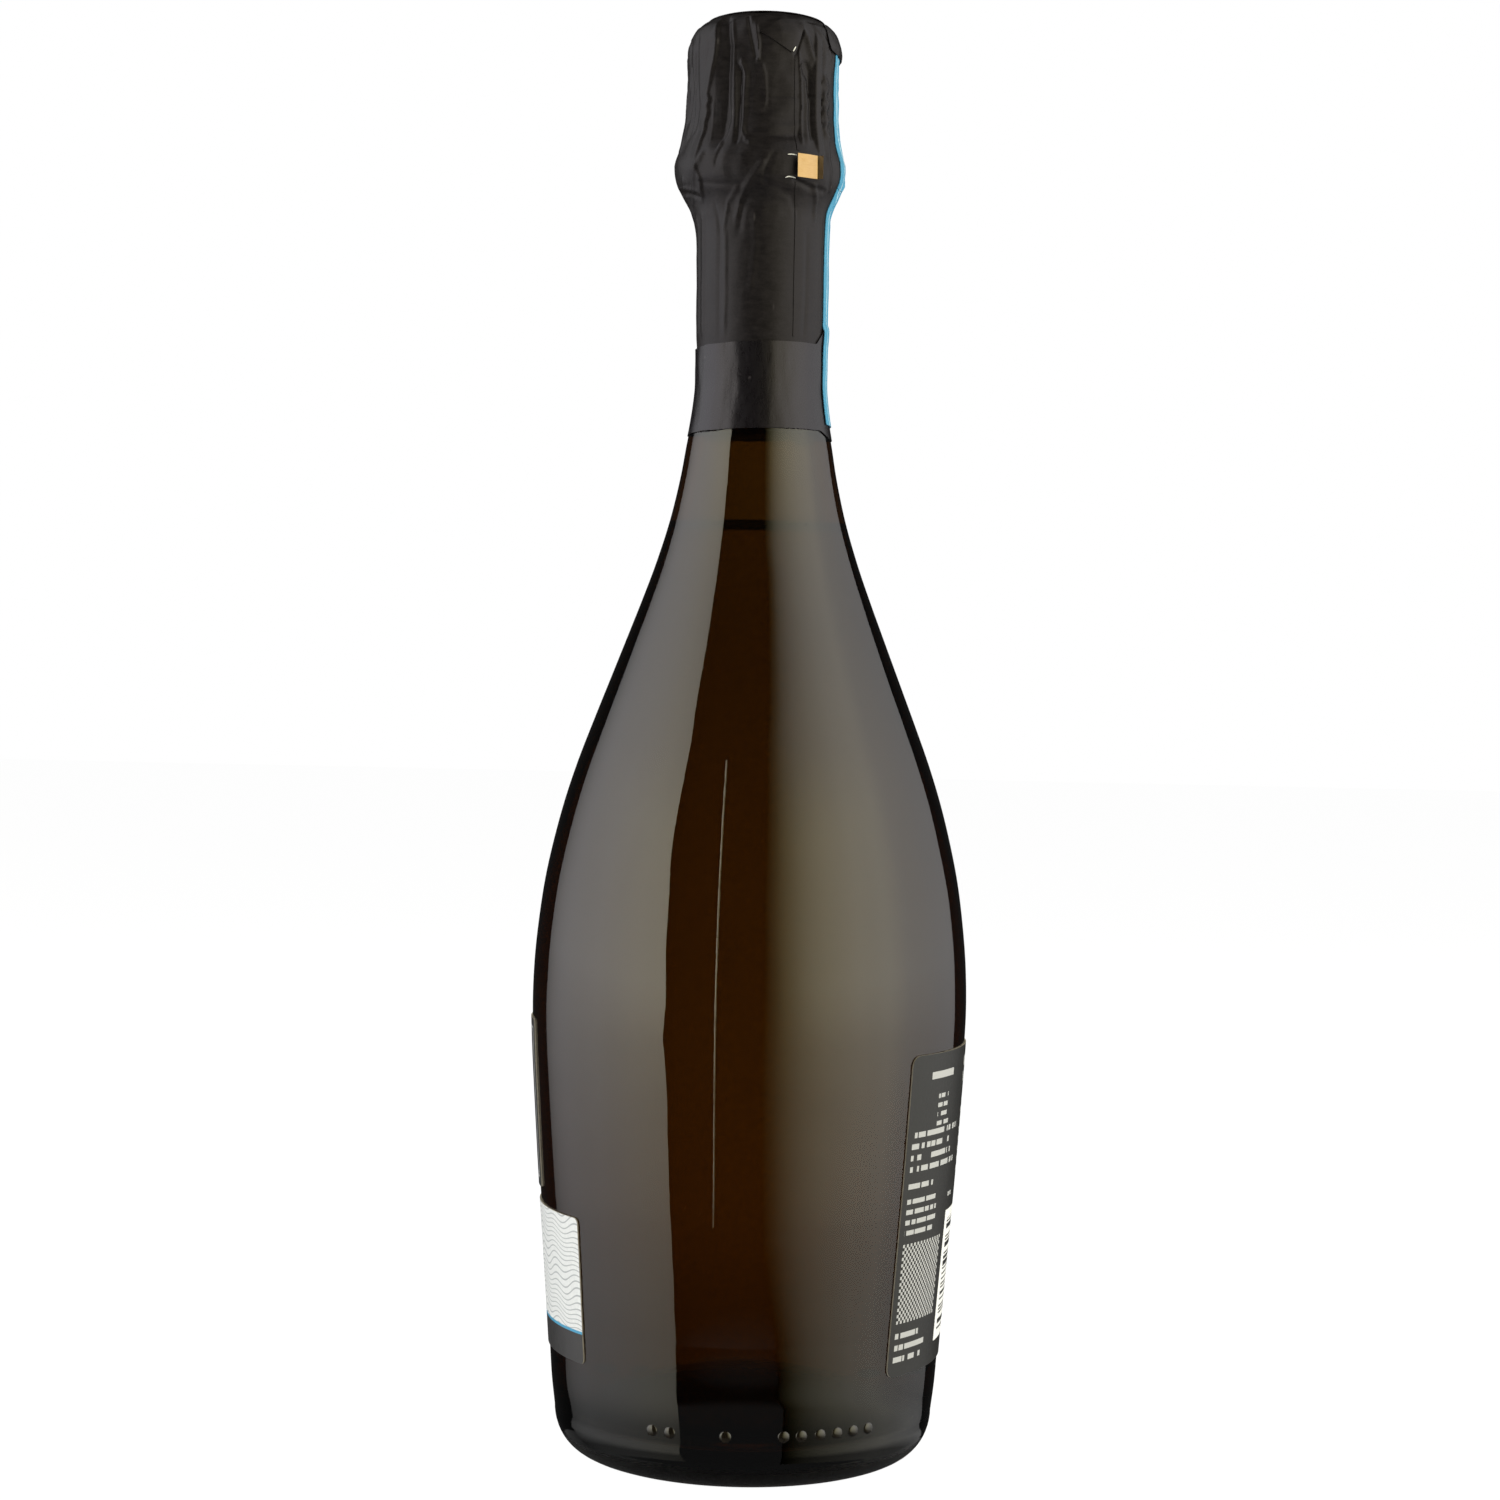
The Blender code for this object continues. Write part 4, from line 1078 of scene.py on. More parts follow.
# %% Creases in the foil
# Each crease: its rise in millimetres, its width to the left and to the right, and its line.
CREASES = (
    (0.45, 2.2, 0.6, ((59, 301.2), (61, 298.1), (59.5, 295.4), (56.5, 292), (53.5, 289), (52, 287.2),
                      (53.8, 286), (51.5, 284.9), (53, 283.3), (50.8, 281.4), (51.5, 279.8), (49, 277.6),
                      (47.5, 274.4), (47, 271.8), (49.5, 269.6), (46, 266.6))),
    (-0.7, 3.0, 1.2, ((67.5, 302), (70.5, 297), (69.5, 291.7), (69, 286.5), (69.5, 281.3), (66, 277.5))),
    (0.2, 1.2, 0.6, ((72, 301.6), (74.5, 297.8), (74, 294.4), (75, 289.1), (75.5, 283.6), (76, 280.3))),
    (-0.5, 1.3, 0.5, ((80, 292), (80, 289), (79.5, 277.2))),
    (0.4, 0.75, 1.2, ((80.5, 293.2), (84, 291), (83.5, 287.7), (83, 283.4), (82.5, 279.2), (86, 277.1),
                      (89, 276.6))),
    (0.4, 1.0, 0.45, ((92, 301), (94.5, 297.3), (94.2, 294.2))),
    (-0.38, 0.5, 0.6, ((84.5, 303), (87.5, 299.6), (92, 294.4))),
    (0.2, 1.6, 0.7, ((97, 292.8), (99.5, 290.8), (100.5, 286.7), (100, 284.6))),
    (-0.55, 1.7, 1.7, ((86, 278.4), (104, 277.9), (126, 278.5))),
    (0.28, 0.5, 0.6, ((127, 295.5), (129.5, 291), (130, 284), (129, 277))),
    (-0.9, 1.4, 1.6, ((133, 293), (138, 290.5), (140.5, 286), (140.5, 278.8))),
    (-0.5, 1.0, 0.3, ((147.5, 291), (148.8, 286), (147.5, 281))),
    (-0.14, 0.8, 0.8, ((84, 286.4), (104, 286.2), (126, 286.6))),
    (-0.35, 0.3, 0.9, ((125.3, 295.4), (130.3, 300.2))),
    (0.3, 1.2, 0.9, ((133, 290), (135, 285), (134.5, 277.5))),
    (0.45, 1.3, 0.7, ((130, 301), (134, 299.4), (137, 297.4), (141, 294.6))),
    (-0.5, 1.1, 1.1, ((145, 299), (149, 296.4), (148.5, 293.6), (143, 292.6))),
    (0.3, 1.0, 0.8, ((143, 302), (152, 299), (160, 296))),
    (0.5, 1.0, 1.2, ((151, 291.2), (155, 289.3), (150.5, 287.4), (156, 286), (150.5, 284), (155, 282.6),
                     (149.5, 280.5), (153, 279))),
    (0.3, 0.8, 0.8, ((156, 280.3), (151.5, 273.8), (158.5, 267.9))),
    (-0.2, 0.6, 1.6, ((68, 281), (69, 276.5), (64, 272.5))),
    (0.26, 1.3, 0.9, ((99, 272), (95, 270.3), (88.5, 267.8), (81, 264.8), (77, 261.3))),
    (-0.18, 0.7, 1.3, ((105, 273.5), (101, 270.8), (99.5, 268.5))),
    (-0.14, 0.5, 1.0, ((50.5, 268.7), (67, 267.9), (82, 267.6))),
    (-0.35, 1.0, 0.5, ((124, 268.9), (138, 267.8), (152, 267.6))),
    (-0.15, 1.3, 1.3, ((79.5, 258.9), (82.5, 263), (89.5, 266), (100, 267.4), (112, 267.1), (122.5, 265.7),
                       (130, 262))),
    (-0.15, 1.2, 0.5, ((49, 268.7), (56.5, 264.8), (60, 259))),
    (0.18, 0.6, 1.0, ((78.5, 267), (69, 264.4), (64, 259))),
    (-0.45, 0.4, 1.0, ((12, 268.2), (28, 267.4), (42.5, 266.1))),
    (0.25, 1.1, 0.6, ((12, 269.2), (28, 268.4), (42.5, 267.2))),
    (-0.3, 0.6, 0.6, ((14, 300.2), (28, 299.6), (37, 299))),
    (0.2, 1.2, 0.8, ((27, 297), (23, 289.7), (18.5, 284.6), (20, 277))),
    (-0.22, 0.9, 0.9, ((36, 296), (35, 286), (31, 279))),
    (0.3, 1.0, 0.6, ((141, 268), (147, 265.5), (150, 262))),
)
NECK_CREASES = (
    (-0.18, 1.3, 1.3, ((60.2, 262), (60, 246), (60.5, 236))),
    (0.16, 1.0, 1.0, ((66, 258), (67, 246), (66, 237))),
    (-0.2, 1.2, 1.2, ((141, 258), (141.4, 246), (140, 237))),
    (0.15, 1.2, 1.2, ((161, 262), (161.5, 246), (161, 238))),
    (0.16, 1.6, 1.6, ((37, 260), (36, 247), (38, 238))),
    (-0.14, 1.4, 1.4, ((20, 258), (21, 240))),
    (0.12, 1.3, 1.3, ((92, 262), (94, 255), (90, 246))),
)
# Each swell: its rise, its middle and half width in degrees, its level and its height.
SWELLS = (
    (1.15, 8, 24, 274.5, 9), (0.5, 6, 26, 264.5, 3.5), (0.45, 8, 30, 292, 12), (-0.5, 190, 48, 285, 26),
)
LEG_LINES = (
    ((262, 45), (266, 46), (270, 49.5), (273, 48), (278, 50), (285, 53.5), (292, 57), (298, 61), (301, 58)),
    ((266, 149), (285, 152), (301, 147)), ((266, 236), (301, 234)), ((266, 326), (301, 322)),
)
SPAN_DEPTHS = (1.3, 0.35, 1.1, 0.0)
SPAN_FADE = (
    (262, 0.0), (266, 0.25), (271, 0.55), (277, 0.8), (282, 1.0), (297, 1.0), (301, 0.6), (304, 0.15),
)
WIRE_BEARINGS = (55, 145, 235, 325)
WIRE_HALF = 0.7
WIRE_SLOPE = 0.85
WIRE_CLEAR = ((274, 0.65), (277, 0.3), (299, 0.3), (303, 0.6))
DEEPEST = ((262, 0.6), (268, 1.0), (274, 1.6), (303, 1.6))
REACH = 16.4
BAND_CLEAR = (234.5, 239.5)


def chance_creases():
    """Creases for the far sides, upright and slightly zigzag, the same on each run."""
    dice = random.Random(11)
    made = []
    bearing = 172
    while bearing < 404:
        low = dice.uniform(276, 284)
        line = [(bearing + dice.uniform(-4, 4), low + step * dice.uniform(5, 7)) for step in range(4)]
        sides = dice.uniform(0.5, 1.9), dice.uniform(0.5, 1.9)
        made.append((dice.choice((-1, 1)) * dice.uniform(0.2, 0.5), *sides, tuple(line[::-1])))
        low = dice.uniform(260, 268)
        slant = dice.uniform(-10, 10)
        line = [(bearing + slant * step, low + step * 3.4) for step in range(3)]
        sides = dice.uniform(0.5, 1.3), dice.uniform(0.5, 1.3)
        made.append((dice.choice((-1, 1)) * dice.uniform(0.15, 0.35), *sides, tuple(line)))
        if dice.random() < 0.5:
            line = [(bearing + dice.uniform(-2, 2), 262 - step * 8) for step in range(4)]
            made.append((dice.choice((-1, 1)) * dice.uniform(0.1, 0.2), 1.3, 1.3, tuple(line)))
        bearing += dice.uniform(8, 15)
    return made


def unrolled(bearing, height, near):
    """A point of the rolled-out foil in millimetres, counted from a bearing near it."""
    return Vector((math.radians(turn_from(near, bearing)) * REACH, height))


def far_from(point, line):
    """The distance from a point to a line of points, and whether it is on the line's right."""
    best, right = 99.0, False
    for start, end in zip(line, line[1:]):
        along, reach = end - start, point - start
        away = (reach - along * held(reach.dot(along) / along.length_squared)).length
        if away < best:
            best, right = away, along.x * reach.y - along.y * reach.x > 0
    return best, right


def ready(crease):
    """A crease rolled out once: its depth, its two widths, first bearing, its line and its reach."""
    depth, left, right, line = crease
    near = line[0][0]
    flat = [unrolled(bearing, height, near) for bearing, height in line]
    wide = max(left, right)
    low = min(point.y for point in flat) - wide
    high = max(point.y for point in flat) + wide
    first = min(point.x for point in flat) - wide
    last = max(point.x for point in flat) + wide
    return depth, left, right, near, flat, low, high, first, last


ALL_CREASES = [ready(crease) for crease in (*CREASES, *NECK_CREASES, *chance_creases())]


def swell(rise, middle, half, level, tall, bearing, height):
    """A broad bulge or flat: its depth fades with the bearing and the height."""
    across = turn_from(middle, bearing) / half
    up = (height - level) / tall
    return rise * math.exp(-across * across - up * up)


def stepped(stops, at):
    """A value between stops, which run upwards."""
    if at <= stops[0][0]:
        return stops[0][1]
    for low, high in zip(stops, stops[1:]):
        if at <= high[0]:
            return low[1] + (high[1] - low[1]) * (at - low[0]) / (high[0] - low[0])
    return stops[-1][1]


def pressed_in(bearing, height):
    """Between two legs of the cage the foil is pressed in, flatter than a cylinder."""
    starts = [stepped(line, height) for line in LEG_LINES]
    for start, end, depth in zip(starts, [*starts[1:], starts[0] + 360], SPAN_DEPTHS):
        turn = (bearing - start) % 360
        if turn < end - start:
            across = abs(2 * turn / (end - start) - 1)
            return -depth * (1 - across ** 3.5) * stepped(SPAN_FADE, height)
    return 0.0


def held_out(bearing, height):
    """How far in the foil may be pressed: less over the wires, never as far as cork or glass."""
    away = min(abs(turn_from(wire, bearing)) for wire in WIRE_BEARINGS)
    tent = stepped(WIRE_CLEAR, height) + max(0, math.radians(away) * REACH - WIRE_HALF) * WIRE_SLOPE
    return min(tent, stepped(DEEPEST, height))


def relief(bearing, height):
    """How far the foil stands out at a bearing in degrees and a height in mm, in metres."""
    depth = sum(swell(*each, bearing, height) for each in SWELLS) + pressed_in(bearing, height)
    for rise, left, right, near, line, low, high, first, last in ALL_CREASES:
        if not low < height < high:
            continue
        point = unrolled(bearing, height, near)
        if not first < point.x < last:
            continue
        away, on_right = far_from(point, line)
        width = right if on_right else left
        if away < width:
            depth += rise * (1 - away / width) ** 1.2
    turn = math.radians(bearing)
    spot = Vector((math.sin(turn) * 2.2, math.cos(turn) * 2.2, height / 9))
    rough = 0.3 * noise.noise(spot) + 0.14 * noise.noise(spot * 2.7)
    depth += rough * (1.0 if height > 262 else 0.35)
    depth = max(depth, -held_out(bearing, height))
    return depth * held((height - BAND_CLEAR[0]) / (BAND_CLEAR[1] - BAND_CLEAR[0])) * MM


print("creases:", len(ALL_CREASES), "relief at the loop:", round(relief(10, 273) / MM, 2), "mm")

# %% [markdown]
# Lacquered foil is satin black: it has a broad soft highlight, fine roller marks that run round, a
# slight crumple, and a scatter of paler scratches. The finish mixes these from the shared groups. The
# sheet itself is a spun outline, moved along by the relief and then given its thickness.

# %% Foil finish
FOIL_DARK = linear(15, 13, 13)
FOIL_WORN = linear(30, 27, 27)
FOIL_SCRATCH = linear(92, 88, 88)
COOL_SHEEN = (0.87, 0.84, 1.0, 1)
FOIL_PLAIN = {"IOR": 1.5, "Roughness": 0.45, "Specular_IOR_Level": 0.18, "Specular_Tint": COOL_SHEEN}


def foil_finish(name, crumple_depth):
    """Satin black lacquer on thin foil."""
    made, tree, shader = finish(name, **FOIL_PLAIN)
    spot = place_in(tree)
    grain = use(tree, GRAIN, Vector=spot, Scale=420.0, Upright=2.5)
    cells = use(tree, CRUMPLE, Vector=spot, Scale=230.0, Upright=0.5)
    first = bump(tree, shader, cells, crumple_depth)
    bump(tree, shader, grain, 0.000035, first)
    marks = use(tree, SPECKS, Vector=stretched(tree, spot, 0.3), Scale=620.0, Amount=0.05, Size=0.22)
    tone = toned(tree, grain, FOIL_DARK, FOIL_WORN, 0.45)
    paint(tree, shader, mixed(tree, times(tree, marks, 0.35), tone, FOIL_SCRATCH))
    plug(tree, shader.inputs["Roughness"], ranged(tree, grain, 0.4, 1.2, 0.38, 0.52))
    return made


FOIL = foil_finish("black_foil_lacquer", 0.00016)
NECK_FOIL = foil_finish("black_foil_smooth", 0.00006)
print("foil finishes:", FOIL.name, NECK_FOIL.name)

# %% The foil's parts
FOIL_STEPS = 432
FOIL_THICKNESS = 0.00025
FOIL_STEP = 0.00045
SKIRT_STEP = 0.0008
TEAR_LOW = 269.0
TEAR_HIGH = 274.2
TURNED_IN = (9.5, 15.0)
SHOULDER_TOP = 302
SKIRT_LINE = in_mm(
    (14.72, 219.6), (14.2, 222.5), (13.72, 226.7), (13.7, 231), (13.72, 235), (13.95, 238), (14.0, 241),
    (14.08, 248.3), (14.22, 259), (14.4, 262.2), (14.75, 264), (15.45, 265.7), (16.5, 267.6),
    (17.13, TEAR_LOW),
)
TEAR_LINE = in_mm((17.13, TEAR_LOW), (17.45, 269.8), (17.77, 271.2), (17.92, 272.6), (17.87, TEAR_HIGH))
CROWN_LINE = in_mm(
    (17.87, TEAR_HIGH), (17.6, 275.3), (17.2, 276.7), (16.7, 279.4), (16.32, 282.5), (16.22, 287),
    (16.22, 292), (16.32, 296.5), (16.25, 298.8), (15.75, 300.8), (14.95, 302.4), (13.95, 303.5),
    (13.2, 304.0), (12.7, 304.25), (11.0, 304.5), (9.5, 304.55),
)


def by_length(outline, step):
    """The outline again, with its points an even step apart."""
    made = [Vector(outline[0])]
    for start, end in zip(outline, outline[1:]):
        count = max(1, round((Vector(end) - Vector(start)).length / step))
        made += [Vector(start).lerp(Vector(end), share / count) for share in range(1, count + 1)]
    return made


def evened(outline, step):
    """An outline that ends on the axis, with its other points an even step apart."""
    return [outline[0], *by_length(outline[1:-1], step), outline[-1]]


def foil_sheet(name, outline, body, nodes, look, step=FOIL_STEP):
    """A turned foil sheet moved along by the relief, less so where it turns in over the top."""
    shape = turned(by_length(smooth(outline, 4), step), closed=False, steps=FOIL_STEPS)
    face_out(shape)
    inner, outer = TURNED_IN
    for spot in shape.verts:
        radius = spot.co.xy.length / MM
        height = spot.co.z / MM
        calm = held((radius - inner) / (outer - inner)) if height > SHOULDER_TOP else 1
        push = relief(math.degrees(math.atan2(spot.co.x, -spot.co.y)), height) * calm
        push_out(spot, push)
        if height > SHOULDER_TOP + 0.5:
            spot.co.z -= abs(push) * 0.8
    made = piece(name, shape, body, [look], nodes, sharp=60)
    return thicken(made, FOIL_THICKNESS, False)


foil_sheet("foil_skirt", SKIRT_LINE, "bottle", ["capsule_skirt"], NECK_FOIL, SKIRT_STEP)
foil_sheet("foil_tear_strip", TEAR_LINE, "capsule", ["tear_strip"], FOIL)
foil_sheet("foil_crown", CROWN_LINE, "capsule", ["capsule_crown"], FOIL)

# %% [markdown]
# The crown is closed by a separate disc, stamped from the same foil with a fine ring round its edge.
# A thin turned piece with the ring in its outline is enough, and it covers the gathered edge.

# %% Top disc
DISC_LINE = in_mm(
    (0, 304.7), (9.0, 304.6), (11.5, 304.5), (12.45, 304.35), (12.6, 304.42), (12.55, 304.55),
    (12.2, 304.68), (11.8, 304.66), (11.4, 304.72), (11.1, 304.86), (10.8, 304.88), (10.5, 304.8),
    (8.0, 304.95), (6.0, 305.04), (5.7, 305.12), (5.4, 305.07), (0, 305.12),
)
DISC_STEP = 0.0005
DISC_TOP = 0.30515


def make_top_disc():
    """The stamped disc on top of the crown."""
    shape = turned(evened(DISC_LINE, DISC_STEP))
    for spot in shape.verts:
        sag = noise.noise(spot.co * 140) * 0.00006
        spot.co.z = min(spot.co.z + min(sag, 0), DISC_TOP)
    return piece("foil_top_disc", shape, "capsule", [FOIL], ["capsule_top_disc"])


make_top_disc()

# %% [markdown]
# Where the crown's foil is gathered it leaves a small triangular flap, pressed flat near the top, and
# over the seal strip the foil is turned down once more. Both are loose layers, so each is a sheet of
# its own that follows the crown a hair above it, and is cut to shape before it is bent.

# %% Folded layers of the crown
FLAP = ((95.1, 299.5), (120.5, 295.6), (124.6, 296.1), (129.5, 300.4), (133.9, 302.6), (112, 302.4))
TURNDOWN = (
    (160, 303.2), (156, 300.5), (156, 297.7), (166, 297.3), (178, 297.1), (188, 297.3), (198, 296.9),
    (207, 297.3), (216, 296.6), (226, 296.8), (233, 297.2), (235, 300), (232, 303.2),
)
LAYER_CELL = (0.0007, 0.0006)
LAYER_FADE = (0.3025, 0.2985)
CROWN_TOP = smooth(CROWN_LINE, 4)


def crown_radius(bearing, height):
    """The radius of the creased crown, at a bearing in radians and a height in metres."""
    return radius_at(CROWN_TOP, height) + relief(math.degrees(bearing), height / MM)


def folded_layer(name, corners, lift, rim_lift):
    """A loose layer of foil, cut from corners given as bearing and height, laid over the crown."""
    shape = bmesh.new()
    middle = math.radians(sum(bearing for bearing, _ in corners) / len(corners))
    reach = REACH * MM
    flat = [((math.radians(bearing) - middle) * reach, height * MM) for bearing, height in corners]
    shape.faces.new([shape.verts.new((*place, 0)) for place in flat])
    for axis, places, size in zip(((1, 0, 0), (0, 1, 0)), zip(*flat), LAYER_CELL):
        low, high = min(places), max(places)
        cut_along(shape, axis, low, high, round((high - low) / size))
    rim = {spot for edge in shape.edges if edge.is_boundary for spot in edge.verts}
    for spot in shape.verts:
        bearing = middle + spot.co.x / reach
        height = spot.co.y
        ripple = noise.noise(Vector((spot.co.x, spot.co.y, lift)) * 420) * 0.00012
        top = held((LAYER_FADE[0] - height) / (LAYER_FADE[0] - LAYER_FADE[1]), 0.1)
        rise = lift * top + ripple + (rim_lift if spot in rim else 0)
        spot.co = towards(bearing, crown_radius(bearing, height) + rise, height)
    face_out(shape)
    made = piece(name, shape, "capsule", [FOIL], sharp=60)
    return thicken(made, FOIL_THICKNESS, True)


folded_layer("foil_flap", FLAP, 0.0002, 0)
folded_layer("foil_turndown", TURNDOWN, 0.0004, -0.00015)

# %% [markdown]
# ## Neck band
# A satin band is wrapped once round the neck over the foil's foot and overlaps itself. At the back it
# widens to a panel with slanted corners. A flat grid is given the band's heights column by column and
# is then wound on, its first end lying over its last.

# %% Band finish and band
BAND_LINE = in_mm(
    (15.62, 214.6), (15.42, 215.6), (15.22, 216.8), (14.96, 218.2), (14.3, 222.5), (13.87, 226.7),
    (13.85, 231), (13.87, 235), (14.06, 238), (14.12, 241),
)
BAND_SKIN = smooth(BAND_LINE, 4)
BAND_THICKNESS = 0.0002
BAND_START = 43.5
BAND_OVERLAP = 14
BAND_STEP_DOWN = 12
BAND_HEIGHTS = (216.95, 235.3)
BAND_SKEW = -0.4
BAND_WAVE = 0.12
PANEL = (202, 45, 15, -1.4, 4.0)
BAND_TONES = (linear(13, 11, 13), linear(22, 20, 22))
BAND_MARKS = (500.0, 0.04, 0.2, 0.3, linear(90, 86, 88))
BAND_PLAIN = {"IOR": 1.5, "Roughness": 0.3, "Specular_IOR_Level": 0.32, "Specular_Tint": COOL_SHEEN}
SATIN = grained("satin_band_stock", 900.0, 0.35, BAND_TONES, (0.45, 1.1), (0.4, 1.2, 0.24, 0.34), 0.00003,
                BAND_MARKS, **BAND_PLAIN)


def band_heights(bearing):
    """The band's lower and upper edge at a bearing in degrees, in millimetres."""
    middle, half, slant, drop, rise = PANEL
    share = held((half - abs(turn_from(middle, bearing))) / slant)
    wave = BAND_WAVE * noise.noise(Vector((bearing / 14, 0, 0)))
    shift = BAND_SKEW * math.cos(math.radians(bearing)) + wave
    return BAND_HEIGHTS[0] + shift + drop * share, BAND_HEIGHTS[1] + shift + rise * share


def make_band():
    """The band, wound on with its first end over its last."""
    shape = bmesh.new()
    bmesh.ops.create_grid(shape, x_segments=187, y_segments=22, size=0.5)
    for spot in shape.verts:
        along = (spot.co.x + 0.5) * (360 + BAND_OVERLAP)
        low, high = band_heights(BAND_START + along)
        height = (low + (high - low) * (spot.co.y + 0.5)) * MM
        layer = 1 - held((along - BAND_OVERLAP) / BAND_STEP_DOWN)
        ripple = noise.noise(Vector((along / 9, height * 160, 3))) * 0.00008
        radius = radius_at(BAND_SKIN, height) + layer * (BAND_THICKNESS + 0.00005) + ripple
        spot.co = towards(math.radians(BAND_START + along), radius, height)
    face_out(shape)
    made = piece("neck_band_wrap", shape, "bottle", [SATIN], ["neck_band"])
    return thicken(made, BAND_THICKNESS, True)


make_band()

# %% [markdown]
# ## Seal strip
# A narrow strip of blue paper runs up over band, foil and crown, and tears when the bottle is opened.
# It is split where the foil tears, because its upper half leaves with the crown. Both halves follow
# the creased foil below them, with the height cut into short rows.

# %% Seal paper and strips
SEAL_MIDDLE = math.radians(197)
SEAL_WIDTH = 0.0164
SEAL_REACH = 0.0163
SEAL_THICKNESS = 0.00015
SEAL_GAP = 0.00006
SEAL_SPANS = (
    ("seal_lower", "seal_strip_lower", "bottle", 0.2189, 0.26885),
    ("seal_upper", "seal_strip_upper", "capsule", 0.26895, 0.2972),
)
STRIP_ROW = 0.0006
STEP_OFF_BAND = 0.9
LOZENGE_PITCH = 4.2
SKIRT_SKIN = smooth(SKIRT_LINE, 4)
TEAR_SKIN = smooth(TEAR_LINE, 4)


def seal_paper():
    """Blue paper with fine printed lines along both edges and a row of plain lozenges."""
    made, tree, shader, grain = paper_base("blue_seal_paper", 0.5)
    _, across, up = flat_place(tree)
    ground = toned(tree, grain, linear(52, 128, 164), linear(70, 146, 182))
    side = maths(tree, "ABSOLUTE", across)
    lines = maths(tree, "MAXIMUM", window(tree, side, 5.6, 5.85), window(tree, side, 5.0, 5.12))
    turns = maths(tree, "FRACT", maths(tree, "DIVIDE", up, LOZENGE_PITCH))
    from_middle = maths(tree, "ABSOLUTE", maths(tree, "SUBTRACT", turns, 0.5))
    lozenge = window(tree, maths(tree, "MULTIPLY_ADD", from_middle, LOZENGE_PITCH, side), 1.1, 1.32)
    paint(tree, shader, mixed(tree, maths(tree, "MAXIMUM", lines, lozenge), ground, linear(196, 220, 232)))
    return made


def under_seal(bearing, height):
    """The radius of whatever the seal lies on: band, skirt, tear strip or crown."""
    tall = height / MM
    push = relief(math.degrees(bearing), tall)
    if tall >= TEAR_HIGH:
        return radius_at(CROWN_TOP, height) + push
    if tall >= TEAR_LOW:
        return radius_at(TEAR_SKIN, height) + push
    skirt = radius_at(SKIRT_SKIN, height) + push
    band = radius_at(BAND_SKIN, height) + BAND_THICKNESS + 2 * SEAL_GAP
    top = band_heights(math.degrees(bearing))[1]
    share = held((top + STEP_OFF_BAND - tall) / STEP_OFF_BAND)
    return skirt + (max(band, skirt) - skirt) * share


SEAL_PAPER = seal_paper()
for name, node, body, low, high in SEAL_SPANS:
    strip = cut_flat(SEAL_WIDTH, low, high, 0, 20, round((high - low) / STRIP_ROW))
    keep_flat_map(strip)
    bend(strip, SEAL_MIDDLE, SEAL_REACH, lambda turn, up: under_seal(turn, up) + SEAL_GAP)
    thicken(piece(name, strip, body, [SEAL_PAPER], [node]), SEAL_THICKNESS, True)

# %% [markdown]
# The capsule is rolled from a flat cutting, and its glued overlap shows as a narrow double line that
# runs from the flap down to the band. It is a thin strip that follows the creased foil, left out in the
# tear zone and split there, because its upper part leaves with the crown.

# %% Overlap seam
OVERLAP_WIDTH = 0.0006
OVERLAP_THICKNESS = 0.00013
OVERLAP_GAP = 0.00002
OVERLAP_MIDDLE = 127
OVERLAP_LINE = (
    (235, 129.6), (252, 129.2), (263, 129), (266, 126.6), (269, 124.6), (278, 125.1), (295, 125.1),
)
OVERLAP_SPANS = (
    ("foil_overlap_lower", "bottle", 0.2366, 0.2686), ("foil_overlap_upper", "capsule", 0.2750, 0.2952),
)
for name, body, low, high in OVERLAP_SPANS:
    strip = cut_flat(OVERLAP_WIDTH, low, high, 0, 2, round((high - low) / STRIP_ROW))
    for spot in strip.verts:
        aside = stepped(OVERLAP_LINE, spot.co.y / MM) - OVERLAP_MIDDLE
        spot.co.x += math.radians(aside) * SEAL_REACH
    middle = math.radians(OVERLAP_MIDDLE)
    bend(strip, middle, SEAL_REACH, lambda turn, up: under_seal(turn, up) + OVERLAP_GAP)
    thicken(piece(name, strip, body, [FOIL]), OVERLAP_THICKNESS, True)

# %% [markdown]
# ## Tear tab
# The free end of the tear strip is a gold tab. It lies flat on the foil, and a little over a millimetre
# of it is turned up for the finger, which shows as a darker edge. Two short slits beside it, with bright
# cut edges, start the tear, and the same bright metal shows at the flap's torn tip. The tab swings about
# its left edge, so it rides on a body of its own.

# %% Gold tab and slits
TAB_HINGE = Vector((0.015711, 0.009975, 0.2716))
TAB_BEARING = math.radians(132)
TAB_FLAT = 0.0047
TAB_CURL = 0.0005
TAB_TURN = math.radians(49)
TAB_LENGTH = 0.0061
TAB_HEIGHT = 0.0049
TAB_SKIN = 0.00014
TAB_SINK = 0.00008
TAB_BULGE = 0.0001
TAB_TAPER = 0.06
GOLD_TONES = (linear(136, 112, 80), linear(153, 129, 96))
GOLD = grained("gold_tab_foil", 700.0, 5.0, GOLD_TONES, (0.45, 1.1), (0.4, 1.2, 0.26, 0.42), 0.00003,
               Metallic=1.0, Roughness=0.34)


def tab_point(along):
    """A point of the tab's sheet: nearly flat, then turned up at its free end."""
    if along < TAB_FLAT:
        return along, TAB_BULGE * math.sin(along / TAB_FLAT * math.pi)
    turn = min((along - TAB_FLAT) / TAB_CURL, TAB_TURN)
    rest = along - TAB_FLAT - turn * TAB_CURL
    forward = TAB_CURL * math.sin(turn) + rest * math.cos(turn)
    return TAB_FLAT + forward, TAB_CURL * (1 - math.cos(turn)) + rest * math.sin(turn)


